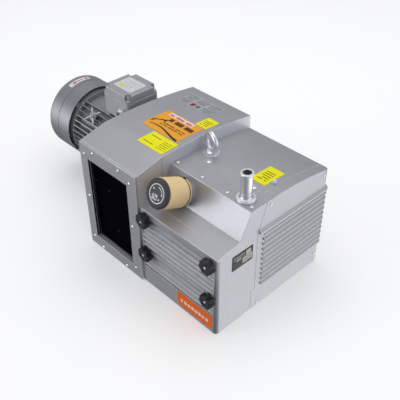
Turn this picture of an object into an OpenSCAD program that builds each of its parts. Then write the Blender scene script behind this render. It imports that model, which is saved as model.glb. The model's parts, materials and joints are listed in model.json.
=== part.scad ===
// Dry-running rotary vane vacuum pump with a flanged electric motor.
// X runs along the shaft with the motor at -X, the filter cover faces -Y, Z is up.
// The origin is the centre of the four foot holes, on the plane that the pump stands on.

/* [Casings] */
// Length of the coupling hood along the shaft
hood_len = 222; // [215:1:270]
// Length of the pump casing along the shaft
casing_len = 264; // [258:1:320]
// Front face of the casings, measured from the foot holes' centre
front_reach = 192.5; // [190:0.5:235]
// Back face of the casings, measured from the foot holes' centre
back_reach = 195; // [190:1:235]
// Thickness of the casing walls
wall = 4; // [3:0.5:5]
// Height of the hood at its front edge
hood_front_h = 331.6; // [325:0.1:345]
// Height of the hood at its crease
hood_crease_h = 350; // [346:1:380]
// Distance of the hood's crease in front of the foot holes' centre
hood_crease_y = 117; // [100:1:130]
// Height of the hood at its back edge
hood_back_h = 336; // [330:1:345]
// Rise of the hood's domed top above its chord
hood_arch = 8; // [5:1:12]
// Height of the casing's flat strip
strip_h = 319; // [310:1:330]
// Front edge of the flat strip, in front of the foot holes' centre
strip_front = 88; // [86:1:94]
// Back edge of the flat strip, in front of the foot holes' centre
strip_back = 32; // [28:1:34]
// Foot of the steep panel, in front of the foot holes' centre
slope_foot = 119; // [114:1:124]
// Height of the steep panel's foot
slope_foot_h = 252; // [249:1:256]
// Height of the casing's front edge
shelf_front_h = 242; // [240:1:246]
// Height of the casing at its back edge
casing_back_h = 298; // [290:1:305]
// Rise of the casing's domed top above its chord
casing_arch = 8; // [5:1:10]

/* [Base] */
// Thickness of the base plate
base_t = 12; // [8:1:14]
// Spacing of the foot holes along the shaft
foot_pitch_x = 400; // [380:10:400]
// Spacing of the foot holes across the shaft
foot_pitch_y = 300; // [280:10:300]
// Radius of the foot holes
foot_hole_r = 5; // [4:0.5:6]

/* [Outlet frame] */
// Thickness of the outlet frame
frame_t = 6.5; // [4:0.5:8]
// Width of the frame's motor-side border
frame_left = 30; // [26:1:34]
// Width of the frame's pump-side border
frame_right = 37; // [32:1:42]
// Height of the opening's lower edge
opening_low = 35; // [30:1:45]
// Height of the opening's upper edge
opening_high = 290; // [270:1:295]
// Thickness of the air filter mat
mat_t = 12; // [8:1:15]

/* [Filter cover] */
// Depth of the filter cover
cover_t = 30.5; // [26:0.5:34]
// Thickness of the filter cover's skin
cover_skin = 4; // [3:0.5:5]
// Radius of the cover's free corner
cover_corner_r = 10; // [6:1:12]
// Number of ribs on the cover
cover_ribs = 11; // [8:1:11]
// Spacing of the ribs
rib_pitch = 16; // [14:1:16]
// Height of the lowest rib
rib_low = 65; // [62:1:70]
// Distance that the ribs stand out
rib_out = 4; // [3:0.5:5]

/* [Star knobs] */
// Outer radius of a star knob
knob_r = 21; // [18:0.5:23]
// Thickness of a star knob
knob_t = 18; // [14:1:22]
// Radius of a knob's stud
stud_r = 5; // [4:0.5:6]
// Distance of the knobs from the casing's two ends
knob_inset = 22; // [21:1:24]
// Height of the lower knobs
knob_low = 110; // [100:1:120]
// Height of the upper knobs
knob_high = 218; // [205:1:219]
// Length of a stud inside its boss
stud_grip = 20; // [15:1:24]

/* [End cover] */
// Depth of the end cover along the shaft
end_depth = 27; // [24:1:36]
// Thickness of the end cover's skin
end_skin = 3; // [2.5:0.5:4]
// Radius of the end cover's back corner
end_corner_r = 14; // [12:1:15]
// Height of the slanting lip's lower edge
lip_low = 240; // [238:1:244]
// Distance that the lip stands out
lip_out = 7; // [5:0.5:9]
// Number of louvres
louvres = 11; // [8:1:11]
// Spacing of the louvres
louvre_pitch = 16; // [15:0.5:16]
// Distance that the louvres stand out
louvre_out = 5.5; // [4:0.5:6]
// Front edge of the end cover, in front of the foot holes' centre
end_front_y = 61; // [60.5:0.5:64]
// Front edge of the end cover's foot, in front of the foot holes' centre
end_foot_y = 73; // [70:1:80]
// Height of the end cover's foot
end_foot_h = 64; // [50:1:64]

/* [Vacuum regulator] */
// Distance of the regulator from the hood
regulator_x = 68; // [60:1:80]
// Distance of the regulator down the steep panel from its top
regulator_down = 43.5; // [43:0.5:44]
// Outer radius of the regulator's filter sleeve
sleeve_r = 37.4; // [34:0.2:37.4]
// Length of the filter sleeve
sleeve_len = 72; // [60:0.5:76]
// Distance of the sleeve from the steep panel
sleeve_off = 14; // [14:0.5:18]
// Radius of the regulator's hand wheel
wheel_r = 36.8; // [34:0.2:40]
// Radius of the hand wheel's front face
wheel_face_r = 30; // [28:0.5:32]
// Thickness of the hand wheel
wheel_t = 9.5; // [9:0.5:14]

/* [Suction connection] */
// Distance of the suction nozzle from the end cover's joint
nozzle_to_end = 15; // [15:1:20]
// Distance of the nozzle in front of the foot holes' centre
nozzle_y = 60; // [58:1:62]
// Outer radius of the hose nozzle
nozzle_r = 14; // [12:0.5:15]
// Radius of the nozzle's bore
nozzle_bore_r = 10; // [8:0.5:11]
// Height of the nozzle above the flat strip
nozzle_h = 74; // [60:1:90]
// Outer radius of the suction pipe below the nozzle
pipe_r = 15; // [14:0.5:15]

/* [Lifting eye] */
// Distance of the lifting eye from the hood
eye_x = 36; // [32:1:48]
// Distance of the lifting eye behind the foot holes' centre
eye_y = 14; // [8:1:20]
// Turn of the eye about its shank, in degrees
eye_turn = -16; // [-45:1:45]
// Radius of the eye's bar
eye_bar_r = 6; // [5:0.5:7]
// Radius of the ring through the middle of the bar
eye_ring_r = 24.5; // [22:0.5:27]
// Radius of the eye's shank
eye_shank_r = 8; // [6:0.5:8]

/* [Shaft line] */
// Distance of the shaft behind the foot holes' centre
axis_y = 41; // [38:1:44]
// Height of the shaft
axis_z = 177; // [174:1:180]
// Radius of the pump shaft
shaft_r = 15; // [12:0.5:16]
// Distance of the cylinder's drive end from the hood
cylinder_x = 18; // [18:1:20]
// Thickness of a side plate
plate_t = 14; // [10:1:14]
// Radius of a side plate
plate_r = 98; // [96:1:100]
// Outer radius of the pump bearings
bearing_r = 31; // [28:1:34]
// Width of the pump bearings
bearing_w = 14; // [12:1:16]

/* [Cylinder and rotor] */
// Length of the cylinder
cylinder_len = 168; // [140:1:180]
// Radius of the cylinder's bore
bore_r = 74; // [73:0.5:75]
// Radius of the rotor
rotor_r = 64; // [58:0.5:65]
// Smallest gap between rotor and cylinder
rotor_gap = 0.3; // [0.2:0.1:0.5]
// Radius of the cylinder's wall
cylinder_r = 86; // [84:1:88]
// Radius of the cylinder's cooling rings
cooling_ring_r = 95; // [90:1:96]
// Number of vanes
vanes_n = 7; // [5:1:8]
// Thickness of a vane
vane_t = 5; // [4:0.5:6]
// Depth of a vane
vane_depth = 30; // [24:1:32]
// Radius of the transfer ducts
duct_r = 16; // [12:1:18]

/* [Coupling and cooling fan] */
// Length of the motor's shaft end
shaft_end = 60; // [50:1:64]
// Radius of the coupling hubs
hub_r = 30; // [26:1:34]
// Thickness of the elastic spider
spider_t = 18; // [14:1:20]
// Length of a coupling hub
hub_len = 40; // [34:1:42]
// Radius of the cooling fan
fan_r = 115; // [100:1:120]
// Number of blades on the cooling fan
fan_blades = 12; // [8:1:16]
// Half of the square on which the lantern's posts stand
post_half = 95; // [92:1:98]
// Radius of the lantern's posts
post_r = 9; // [7:1:11]

/* [Motor] */
// Length of the motor frame
frame_len = 242; // [220:1:300]
// Thickness of the motor's flange shield
flange_t = 14; // [12:1:18]
// Radius of the motor's flange
flange_r = 105; // [102:1:112]
// Radius of the flange's pilot
pilot_r = 65; // [55:1:70]
// Radius of the motor shaft's end
motor_shaft_r = 14; // [12:0.5:16]
// Radius of the motor shaft inside the motor
journal_r = 19; // [17:0.5:21]
// Inner radius of the motor frame
frame_bore_r = 80; // [78:1:82]
// Radius of the motor frame's wall
frame_r = 88; // [86:1:92]
// Radius over the cooling fins
fin_r = 104; // [98:1:106]
// Number of steps around the motor at which a fin may stand
fin_steps = 40; // [32:1:48]
// Outer radius of the fan cowl
cowl_r = 113.7; // [110:0.1:118]
// Length of the fan cowl
cowl_len = 104; // [98:1:130]
// Thickness of the fan cowl
cowl_t = 2; // [1.5:0.5:3]
// Length of the rotor core
core_len = 135; // [100:5:140]

/* [Terminal box] */
// Length of the terminal box along the shaft
box_len = 110; // [100:1:120]
// Width of the terminal box
box_w = 108; // [100:1:116]
// Distance of the terminal box from the hood
box_gap = 38; // [30:1:48]
// Distance of the box's centre behind the shaft
box_back = 3; // [0:1:6]
// Height of the terminal box's rim
box_rim_h = 340; // [334:1:346]
// Height of the terminal box's lid
lid_h = 22; // [16:1:26]

/* [Fits] */
// Clearance between a moving piece and its neighbour
clear = 0.3; // [0.2:0.05:0.6]
// Radial clearance of a shaft that runs in a bearing
run = 0.05; // [0.02:0.01:0.1]
// Visible seam between two casings
seam = 0.5; // [0.3:0.1:0.8]
// Thickness of a label
label_t = 0.5; // [0.3:0.1:1]

/* [Hidden] */
$fn = 72;
arc_fn = 720; // the domes have radii over a metre
far = 500; // reach of a cutting shape
over = 1; // how far a cut runs past a face

steel = [0.78, 0.79, 0.82];
paint = [0.70, 0.70, 0.72];
dark = [0.10, 0.10, 0.12];

cover_back = front_reach - cover_t; // distance of the plane behind the filter cover
end_x = casing_len - end_depth; // where the end cover starts
bore_drop = bore_r - rotor_r - rotor_gap; // the bore's centre lies this far below the shaft
motor_face = -hood_len;
shaft_tip = motor_face + shaft_end;
frame_x = motor_face - flange_t - frame_len; // the motor frame's fan end
shield_t = 14;
cowl_x = frame_x - shield_t / 2 + 4 - cowl_len;
spider_x = shaft_tip;
hub_x = spider_x + spider_t; // where the pump's coupling hub starts
plate_x = cylinder_x + cylinder_len; // where the end side plate starts
nozzle_x = end_x - nozzle_to_end;
slope_tilt = atan2(slope_foot - strip_front, strip_h - slope_foot_h);
regulator_y = -strip_front - regulator_down * sin(slope_tilt);
regulator_z = strip_h - regulator_down * cos(slope_tilt);
box_x = motor_face - box_gap - box_len / 2;
box_y = axis_y + box_back;

// ---- geometry helpers ----

// Where the line through p along u meets the line through q along v
function line_hit(p, u, q, v) = p + u * (cross(q - p, v) / cross(u, v));

// Moves every side of a clockwise outline inwards by d
function inset(pts, d) =
    let (n = len(pts))
    [for (i = [0:n - 1])
        let (
            a = pts[(i + n - 1) % n], b = pts[i], c = pts[(i + 1) % n],
            u = (b - a) / norm(b - a), v = (c - b) / norm(c - b))
        line_hit(b + [u[1], -u[0]] * d, u, b + [v[1], -v[0]] * d, v)];

function at_y(a, b, y) = a[1] + (b[1] - a[1]) * (y - a[0]) / (b[0] - a[0]);

function arc_radius(a, b, rise) = pow(norm(b - a), 2) / (8 * rise) + rise / 2;

function arc_centre(a, b, rise) =
    let (u = (b - a) / norm(b - a))
    (a + b) / 2 + [-u[1], u[0]] * (rise - arc_radius(a, b, rise));

function arc_height(a, b, rise, y) =
    let (c = arc_centre(a, b, rise), r = arc_radius(a, b, rise))
    c[1] + sqrt(r * r - pow(y - c[0], 2));

hood_a = [-hood_crease_y, hood_crease_h];
hood_b = [back_reach, hood_back_h];
casing_a = [-strip_back, strip_h];
casing_b = [back_reach, casing_back_h];
shelf = [[-front_reach, shelf_front_h], [-slope_foot, slope_foot_h]];
hood_strip = [[-front_reach, hood_front_h], hood_a];

function floor_z(d) = d > 0 ? -d - over : 0; // a hollow is open at the bottom

// Draws in the Y-Z plane and extrudes along X from x
module along_x(x, length) {
    translate([x, 0, 0]) rotate([90, 0, 90]) linear_extrude(length) children();
}

// Puts +Z of its child along the shaft, starting at x
module on_shaft(x, turn = 0) {
    translate([x, axis_y, axis_z]) rotate([turn, 0, 0]) rotate([0, 90, 0]) children();
}

module tube(r_out, r_in, length) {
    difference() {
        cylinder(r = r_out, h = length);
        translate([0, 0, -over]) cylinder(r = r_in, h = length + 2 * over);
    }
}

// The region under a domed top, between the heights a and b
module dome_zone(a, b, rise, d) {
    c = arc_centre(a, b, rise);
    intersection() {
        translate([a[0] - 0.01, floor_z(d) + (d > 0 ? d : 0)])
            square([b[0] - d - a[0] + 0.01, far]);
        translate(c) circle(r = arc_radius(a, b, rise) - d, $fn = arc_fn);
    }
}

module hood_outline(d) {
    polygon(inset([
        [-front_reach, floor_z(d)],
        [-front_reach, hood_front_h],
        [-hood_crease_y + d, at_y(hood_strip[0], hood_strip[1], -hood_crease_y + d)],
        [-hood_crease_y + d, floor_z(d)]], d));
    dome_zone(hood_a, hood_b, hood_arch, d);
}

module casing_outline(d) {
    polygon(inset([
        [-cover_back, floor_z(d)],
        [-cover_back, at_y(shelf[0], shelf[1], -cover_back)],
        shelf[1],
        [-strip_front, strip_h],
        [-strip_back + d, strip_h],
        [-strip_back + d, floor_z(d)]], d));
    dome_zone(casing_a, casing_b, casing_arch, d);
}

// Everything in front of the end cover's edge, seen along the shaft
module in_front_of_end(shift) {
    translate([shift, 0])
        polygon([[-far, -over], [-end_foot_y, -over], [-end_foot_y, end_foot_h],
            [-end_front_y, end_foot_h], [-end_front_y, lip_low + 5],
            [-strip_back - 2, strip_h], [-strip_back - 2, far], [-far, far]]);
}

// A screw that points down -Z, its head resting on z = 0
module screw(head_r, head_h, shank_r, shank_len) {
    difference() {
        union() {
            cylinder(r = head_r, h = head_h / 2);
            translate([0, 0, head_h / 2]) cylinder(r1 = head_r, r2 = head_r * 0.7, h = head_h / 2);
        }
        translate([0, 0, head_h / 2]) cylinder(r = head_r * 0.45, h = head_h, $fn = 6);
    }
    translate([0, 0, -shank_len]) cylinder(r = shank_r, h = shank_len);
}

// Holds its child on the steep panel, +Z pointing out of it
module on_slope() {
    translate([regulator_x, regulator_y, regulator_z]) rotate([90 - slope_tilt, 0, 0]) children();
}

// A label that follows a domed top
module dome_label(x, length, y_from, y_to, a, b, rise) {
    c = arc_centre(a, b, rise);
    r = arc_radius(a, b, rise) + 0.05;
    along_x(x, length) intersection() {
        difference() {
            translate(c) circle(r = r + label_t, $fn = arc_fn);
            translate(c) circle(r = r, $fn = arc_fn);
        }
        translate([y_from, 0]) square([y_to - y_from, far]);
    }
}

// ---- base and casings ----

module base_outline() {
    polygon([
        [-hood_len + wall, -front_reach + wall],
        [-wall, -front_reach + wall],
        [-wall, -cover_back + wall],
        [casing_len - wall, -cover_back + wall],
        [casing_len - wall, -end_foot_y - over],
        [end_x, -end_foot_y - over],
        [end_x, back_reach - wall],
        [-hood_len + wall, back_reach - wall]]);
}

module base_plate() color(paint)
    difference() {
        linear_extrude(base_t) base_outline();
        for (x = [-foot_pitch_x / 2, foot_pitch_x / 2])
            for (y = [-foot_pitch_y / 2, foot_pitch_y / 2])
                translate([x, y, -over]) cylinder(r = foot_hole_r, h = base_t + 2 * over);
    }

screw_x_sides = [-hood_len + 19, -24];
screw_z_sides = [29, 169, 301];
screw_x_ends = [-hood_len + 56, -64];
screw_z_ends = [9, hood_front_h - 13.6];
frame_screw_places = concat(
    [for (x = screw_x_sides) for (z = screw_z_sides) [x, z]],
    [for (x = screw_x_ends) for (z = screw_z_ends) [x, z]]);

module at_frame_screws(y) {
    for (p = frame_screw_places) translate([p[0], y, p[1]]) rotate([90, 0, 0]) children();
}

module opening(grow, y, depth) {
    translate([-hood_len + frame_left - grow, y, opening_low - grow])
        cube([hood_len - frame_left - frame_right + 2 * grow, depth,
            opening_high - opening_low + 2 * grow]);
}

module coupling_hood() color(paint) {
    mat_off = 4.5;
    difference() {
        union() {
            difference() {
                along_x(-hood_len, hood_len) hood_outline(0);
                along_x(-hood_len + wall, hood_len - 2 * wall) hood_outline(wall);
            }
            opening(wall, -front_reach + wall, mat_off);
        }
        opening(0, -front_reach - over, wall + mat_off + 2 * over);
        // the pump-side wall is a flange around the casing
        along_x(-wall - over, wall + 2 * over) casing_outline(14);
        translate([-wall - over, -cover_back + wall, -over])
            cube([wall + 2 * over, back_reach + cover_back - 2 * wall, base_t + over]);
        on_shaft(-hood_len - over) cylinder(r = pilot_r + clear, h = wall + 2 * over);
        at_frame_screws(-front_reach + wall + over) cylinder(r = 2.2, h = wall + 2 * over);
        // cooling air slots in the back wall
        for (i = [0:7])
            translate([-hood_len + 35 + i * 20, back_reach - wall - over, 110])
                cube([8, wall + 2 * over, 130]);
    }
}

module outlet_frame() color(paint)
    difference() {
        along_x(-hood_len, hood_len)
            polygon([
                [-front_reach - frame_t, 0],
                [-front_reach - frame_t, at_y(hood_strip[0], hood_strip[1], -front_reach - frame_t)],
                [-front_reach, hood_front_h],
                [-front_reach, 0]]);
        opening(0, -front_reach - frame_t - over, frame_t + 2 * over);
        at_frame_screws(-front_reach + over) cylinder(r = 2.2, h = frame_t + 2 * over);
    }

module outlet_mat() color(dark)
    opening(wall + 4, -front_reach + wall + 4.5, mat_t);

module frame_screws() color(steel)
    at_frame_screws(-front_reach - frame_t) screw(4.5, 3, 2, frame_t + wall - 0.5);

top_screw_x = [8, 93, casing_len - 88, casing_len - 14];
top_screw_y = -strip_front + 16;
plug_y = -strip_back + 16;
plug_x = [59, casing_len - 60];

module regulator_hole() {
    on_slope() translate([0, 0, -12]) cylinder(r = 16 + clear, h = 24);
}

module pump_casing() color(paint)
    difference() {
        union() {
            along_x(0, end_x) casing_outline(0);
            along_x(end_x, end_depth) intersection() {
                casing_outline(0);
                in_front_of_end(0);
            }
        }
        along_x(-over, end_x + 2 * over) casing_outline(wall);
        along_x(end_x, end_depth - wall) intersection() {
            casing_outline(wall);
            in_front_of_end(over);
        }
        // the filter housing shows through the front
        translate([clear, -cover_back - over, base_t])
            cube([casing_len - wall - 2 * clear, wall + 2 * over, filter_top - base_t + clear]);
        translate([eye_x, eye_y, strip_h - 40]) cylinder(r = 21, h = 80);
        translate([nozzle_x, -nozzle_y, strip_h - 20]) cylinder(r = nozzle_flange_r - 6, h = 40);
        for (x = top_screw_x) translate([x, top_screw_y, strip_h - 20]) cylinder(r = 2.2, h = 40);
        for (x = plug_x) translate([x, plug_y, strip_h - 20]) cylinder(r = 4.2, h = 40);
        translate([casing_len - 35, 29, strip_h - 40]) cylinder(r = 3.2, h = 80);
        regulator_hole();
        // warm air leaves through slots in the back wall
        for (i = [0:9])
            translate([40, back_reach - wall - over, 70 + i * 16])
                cube([casing_len - 110, wall + 2 * over, 7]);
    }

// ---- end cover ----

module end_plan(d) {
    x = casing_len - d;
    y = back_reach - d;
    r = end_corner_r - d;
    translate([0, -far]) square([x - r, y + far]);
    translate([0, -far]) square([x, y - r + far]);
    translate([x - r, y - r]) circle(r = r);
}

// Sweeps a profile (outwards, up) along the end face, round its corner and along the back
module wrap_band(from_y) {
    corner_y = back_reach - end_corner_r;
    corner_x = casing_len - end_corner_r;
    translate([casing_len, corner_y, 0]) rotate([90, 0, 0])
        linear_extrude(corner_y - from_y) children();
    translate([corner_x, corner_y, 0])
        rotate_extrude(angle = 90) translate([end_corner_r, 0]) children();
    translate([end_x + seam, back_reach, 0]) rotate([90, 0, 90])
        linear_extrude(corner_x - end_x - seam) children();
}

function louvre_z(i) = lip_low - 8 - i * louvre_pitch;

louvre_inset = 20; // distance of the louvres' ends from the end cover's front edge
end_screw_places = [
    [-strip_back + 11, 304], [back_reach - 19, 286], [-48, 8], [back_reach - 19, 29]];

module end_cover() color(paint) {
    root = 1.5;
    difference() {
        union() {
            intersection() {
                along_x(end_x + seam, end_depth - seam) difference() {
                    casing_outline(0);
                    in_front_of_end(seam);
                }
                translate([0, 0, -over]) linear_extrude(far) end_plan(0);
            }
            wrap_band(-end_front_y + 4) polygon([
                [-root, lip_low + 13], [0, lip_low + 13], [lip_out, lip_low + 3],
                [lip_out, lip_low], [-root, lip_low]]);
            for (i = [0:louvres - 1])
                wrap_band(-end_front_y + louvre_inset) polygon([
                    [-root, louvre_z(i) + 4], [0, louvre_z(i) + 4],
                    [louvre_out, louvre_z(i) - 3], [louvre_out, louvre_z(i) - 4.5],
                    [-root, louvre_z(i) - 3]]);
        }
        intersection() {
            along_x(end_x - over, end_depth - end_skin + over) difference() {
                casing_outline(end_skin);
                in_front_of_end(seam + end_skin);
            }
            translate([0, 0, -2 * over]) linear_extrude(far) end_plan(end_skin);
        }
        for (i = [0:louvres - 1])
            translate([casing_len - end_skin - over, -30, louvre_z(i) - 10.5])
                cube([end_skin + 2 * over, 162, 6]);
        for (p = end_screw_places)
            translate([casing_len - end_skin - over, p[0], p[1]]) rotate([0, 90, 0])
                cylinder(r = 2.2, h = end_skin + 2 * over);
    }
}

module end_cover_screws() color(steel)
    for (p = end_screw_places)
        translate([casing_len, p[0], p[1]]) rotate([0, 90, 0]) screw(4, 2.5, 2, end_skin + 3);

module top_screws() color(steel)
    for (x = top_screw_x) translate([x, top_screw_y, strip_h]) screw(5, 3, 2, wall + 3);

module top_plugs() color(steel) {
    z = arc_height(casing_a, casing_b, casing_arch, plug_y);
    for (x = plug_x) translate([x, plug_y, 0]) {
        translate([0, 0, z + 0.2]) cylinder(r = 8, h = 1.6);
        translate([0, 0, z - wall - 2]) cylinder(r = 4, h = wall + 3);
    }
    gauge_z = arc_height(casing_a, casing_b, casing_arch, 29);
    translate([casing_len - 35, 29, 0]) {
        translate([0, 0, gauge_z - wall - 3]) cylinder(r = 3, h = wall + 4);
        translate([0, 0, gauge_z + 0.3]) cylinder(r = 5.5, h = 7, $fn = 6);
        translate([0, 0, gauge_z + 7.3]) cylinder(r = 4, h = 6);
    }
}

// ---- lifting eye and suction connection ----

cylinder_top = axis_z - bore_drop + cooling_ring_r;
eye_seat = arc_height(casing_a, casing_b, casing_arch, eye_y);

module lifting_eye() color(steel) translate([eye_x, eye_y, 0]) {
    collar_t = 8;
    ring_z = eye_seat + collar_t - 1 + eye_ring_r;
    translate([0, 0, cylinder_top - 8]) cylinder(r = eye_shank_r, h = eye_seat - cylinder_top + 10);
    translate([0, 0, eye_seat]) cylinder(r = 17.5, h = collar_t - 2);
    translate([0, 0, eye_seat + collar_t - 2]) cylinder(r1 = 17.5, r2 = 11, h = 4);
    translate([0, 0, ring_z]) rotate([90, 0, eye_turn])
        rotate_extrude() translate([eye_ring_r, 0]) circle(r = eye_bar_r);
}

nozzle_flange_r = 24;
pipe_wall = 3;
pipe_bore_r = pipe_r - pipe_wall - 2;
branch_z = 205; // height of the pipe's way into the filter housing
valve_seat_z = strip_h - 40;

module suction_nozzle() color(steel) translate([nozzle_x, -nozzle_y, 0])
    difference() {
        union() {
            translate([0, 0, strip_h]) cylinder(r = nozzle_flange_r, h = 6);
            translate([0, 0, strip_h + 6]) cylinder(r1 = nozzle_r + 5, r2 = nozzle_r, h = 4);
            translate([0, 0, strip_h]) cylinder(r = nozzle_r, h = nozzle_h);
            translate([0, 0, strip_h + nozzle_h - 8]) cylinder(r1 = nozzle_r, r2 = nozzle_r + 3, h = 5);
            translate([0, 0, strip_h + nozzle_h - 3]) cylinder(r = nozzle_r + 3, h = 3);
            translate([0, 0, strip_h - 14]) cylinder(r = pipe_r - pipe_wall - 0.2, h = 15);
        }
        translate([0, 0, strip_h - 15]) cylinder(r = nozzle_bore_r, h = nozzle_h + 20);
    }

module suction_pipe() color(paint) {
    pipe_top = strip_h - wall;
    difference() {
        union() {
            translate([nozzle_x, -nozzle_y, branch_z - pipe_r])
                cylinder(r = pipe_r, h = pipe_top - branch_z + pipe_r);
            translate([nozzle_x, -nozzle_y, branch_z]) rotate([90, 0, 0])
                cylinder(r = pipe_r, h = filter_back - nozzle_y);
        }
        translate([nozzle_x, -nozzle_y, branch_z - pipe_bore_r])
            cylinder(r = pipe_bore_r, h = valve_seat_z - branch_z + 20);
        translate([nozzle_x, -nozzle_y, valve_seat_z])
            cylinder(r = pipe_r - pipe_wall, h = pipe_top - valve_seat_z + over);
        translate([nozzle_x, -nozzle_y, branch_z]) rotate([90, 0, 0])
            cylinder(r = pipe_bore_r, h = filter_back - nozzle_y + over);
    }
}

module check_valve_disc() color(dark)
    translate([nozzle_x, -nozzle_y, valve_seat_z + clear]) {
        cylinder(r = pipe_r - pipe_wall - clear, h = 3);
        translate([0, 0, 3]) cylinder(r = 5, h = 4);
    }

// ---- filter housing, filters and cover ----

filter_front = cover_back - 2; // distance of the housing's flange
filter_back = 84; // distance of the housing's back face
filter_top = 236;
filter_wall = 6;
pocket_low = 30;
pocket_high = filter_top - filter_wall - 4;
pocket_x1 = knob_inset + 14;
pocket_x4 = casing_len - knob_inset - 14;
pocket_x2 = (pocket_x1 + pocket_x4) / 2 - 3;
pocket_x3 = pocket_x2 + filter_wall;
knob_places = [
    [knob_inset, knob_low], [knob_inset, knob_high],
    [casing_len - knob_inset, knob_low], [casing_len - knob_inset, knob_high]];
duct_x = [cylinder_x + 60, cylinder_x + 120];
duct_z = 152;

module filter_housing() color(paint)
    difference() {
        translate([2 * clear, -filter_front, base_t])
            cube([casing_len - wall - 4 * clear, filter_front - filter_back, filter_top - base_t]);
        for (span = [[pocket_x1, pocket_x2], [pocket_x3, pocket_x4]])
            translate([span[0], -filter_front - over, pocket_low])
                cube([span[1] - span[0], filter_front - filter_back - filter_wall + over,
                    pocket_high - pocket_low]);
        // the bosses' tapped holes
        for (p = knob_places)
            translate([p[0], -filter_front - over, p[1]]) rotate([-90, 0, 0])
                cylinder(r = stud_r + clear, h = stud_grip + 6);
        // hollow backs behind the bosses
        for (x = [2 * clear + filter_wall, pocket_x4 + filter_wall])
            translate([x, -filter_front + stud_grip + 14, base_t - over])
                cube([pocket_x1 - 2 * filter_wall - 2 * clear, filter_front - filter_back, 300]);
        for (x = duct_x)
            translate([x, -filter_back + over, duct_z]) rotate([90, 0, 0])
                cylinder(r = duct_r - 4, h = filter_wall + 2 * over);
        translate([nozzle_x, -filter_back + over, branch_z]) rotate([90, 0, 0])
            cylinder(r = pipe_bore_r, h = filter_wall + 2 * over);
    }

pleats = 28;
cartridge_r = 30;
cartridge_len = pocket_high - pocket_low - 30;
pocket_mid_y = -(filter_front + filter_back + filter_wall) / 2;

// A pleated cartridge that stands in its pocket
module cartridge(x) {
    cap_t = 6;
    translate([x, pocket_mid_y, pocket_low]) {
        cylinder(r = cartridge_r + 2, h = cap_t);
        translate([0, 0, cap_t]) linear_extrude(cartridge_len - 2 * cap_t) difference() {
            polygon([for (i = [0:2 * pleats - 1])
                (i % 2 == 0 ? cartridge_r : cartridge_r - 5)
                    * [cos(i * 180 / pleats), sin(i * 180 / pleats)]]);
            circle(r = cartridge_r - 10);
        }
        translate([0, 0, cartridge_len - cap_t]) cylinder(r = cartridge_r + 2, h = cap_t);
    }
}

module inlet_filter() color("lightsteelblue") cartridge((pocket_x3 + pocket_x4) / 2);

module exhaust_filter() color("wheat") cartridge((pocket_x1 + pocket_x2) / 2);

module transfer_ducts() color(paint)
    for (x = duct_x)
        translate([x, -filter_back, duct_z]) rotate([-90, 0, 0])
            tube(duct_r, duct_r - 4, filter_back - boss_front);

cover_top_t = 5;

module cover_plan(d) {
    x = casing_len - d;
    y = -front_reach + d;
    r = cover_corner_r - d;
    translate([seam + d, y]) square([x - r - seam - d, cover_t + over]);
    translate([seam + d, y + r]) square([x - seam - d, cover_t + over]);
    translate([x - r, y + r]) circle(r = r);
}

module cover_side(d) {
    polygon([
        [-front_reach - over, d], [-front_reach - over, shelf_front_h - d],
        [-cover_back, at_y(shelf[0], shelf[1], -cover_back) - d], [-cover_back, d]]);
}

rib_high = rib_low + (cover_ribs - 1) * rib_pitch;

module filter_cover() color(paint)
    difference() {
        union() {
            difference() {
                intersection() {
                    union() {
                        linear_extrude(far) cover_plan(0);
                        // the top plate keeps a square corner
                        translate([0, -front_reach, shelf_front_h - cover_top_t])
                            cube([casing_len, cover_t, far]);
                    }
                    along_x(0, casing_len) cover_side(0);
                }
                // the ribbed field lies below the border
                translate([7, -front_reach - over, rib_low - 8])
                    cube([casing_len - 7 - cover_corner_r - 2, rib_out + over, rib_high - rib_low + 13]);
            }
            for (i = [0:cover_ribs - 1])
                along_x(6, casing_len - cover_corner_r - 7)
                    polygon([
                        [-front_reach, rib_low - 1.5 + i * rib_pitch],
                        [-front_reach, rib_low + 1.5 + i * rib_pitch],
                        [-front_reach + rib_out + 0.5, rib_low + 4 + i * rib_pitch],
                        [-front_reach + rib_out + 0.5, rib_low - 4 + i * rib_pitch]]);
            for (p = knob_places)
                translate([p[0], -front_reach + rib_out + 1, p[1]]) rotate([90, 0, 0])
                    cylinder(r = 13, h = rib_out + 1);
        }
        intersection() {
            translate([0, rib_out + cover_skin, -over]) linear_extrude(far) cover_plan(cover_skin);
            along_x(0, casing_len) cover_hollow();
        }
        for (p = knob_places)
            translate([p[0], -front_reach - over, p[1]]) rotate([-90, 0, 0])
                cylinder(r = stud_r + clear, h = cover_t + over);
    }

module cover_hollow() {
    polygon([
        [-front_reach, cover_skin], [-front_reach, shelf_front_h - cover_skin - 1],
        [-cover_back + over, shelf_front_h - cover_skin - 1], [-cover_back + over, cover_skin]]);
}

module cover_gasket() color(dark)
    difference() {
        translate([4, -cover_back, base_t + 3])
            cube([casing_len - 12, filter_gap, filter_top - base_t - 6]);
        for (span = [[pocket_x1, pocket_x2], [pocket_x3, pocket_x4]])
            translate([span[0] - 2, -cover_back - over, pocket_low - 2])
                cube([span[1] - span[0] + 4, 2 * cover_t, pocket_high - pocket_low + 4]);
        for (p = knob_places)
            translate([p[0], -cover_back - over, p[1]]) rotate([-90, 0, 0])
                cylinder(r = stud_r + 1, h = 2 * cover_t);
    }

filter_gap = cover_back - filter_front - clear;

module name_plate() color("orangered")
    translate([casing_len - 133, -front_reach - 0.8, 10]) cube([119, 0.8, 44]);

module knob(i) color(dark) {
    lobes = 7;
    lobe_r = 5;
    gap = 0.4;
    p = knob_places[i];
    translate([p[0], -front_reach - gap, p[1]]) rotate([90, 0, 0]) {
        cylinder(r = knob_r - 6, h = knob_t);
        for (k = [0:lobes - 1])
            rotate(k * 360 / lobes) translate([knob_r - lobe_r, 0, 3])
                cylinder(r = lobe_r, h = knob_t - 5);
        translate([0, 0, -cover_t - gap - stud_grip])
            cylinder(r = stud_r, h = cover_t + gap + stud_grip + over);
    }
}

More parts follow.
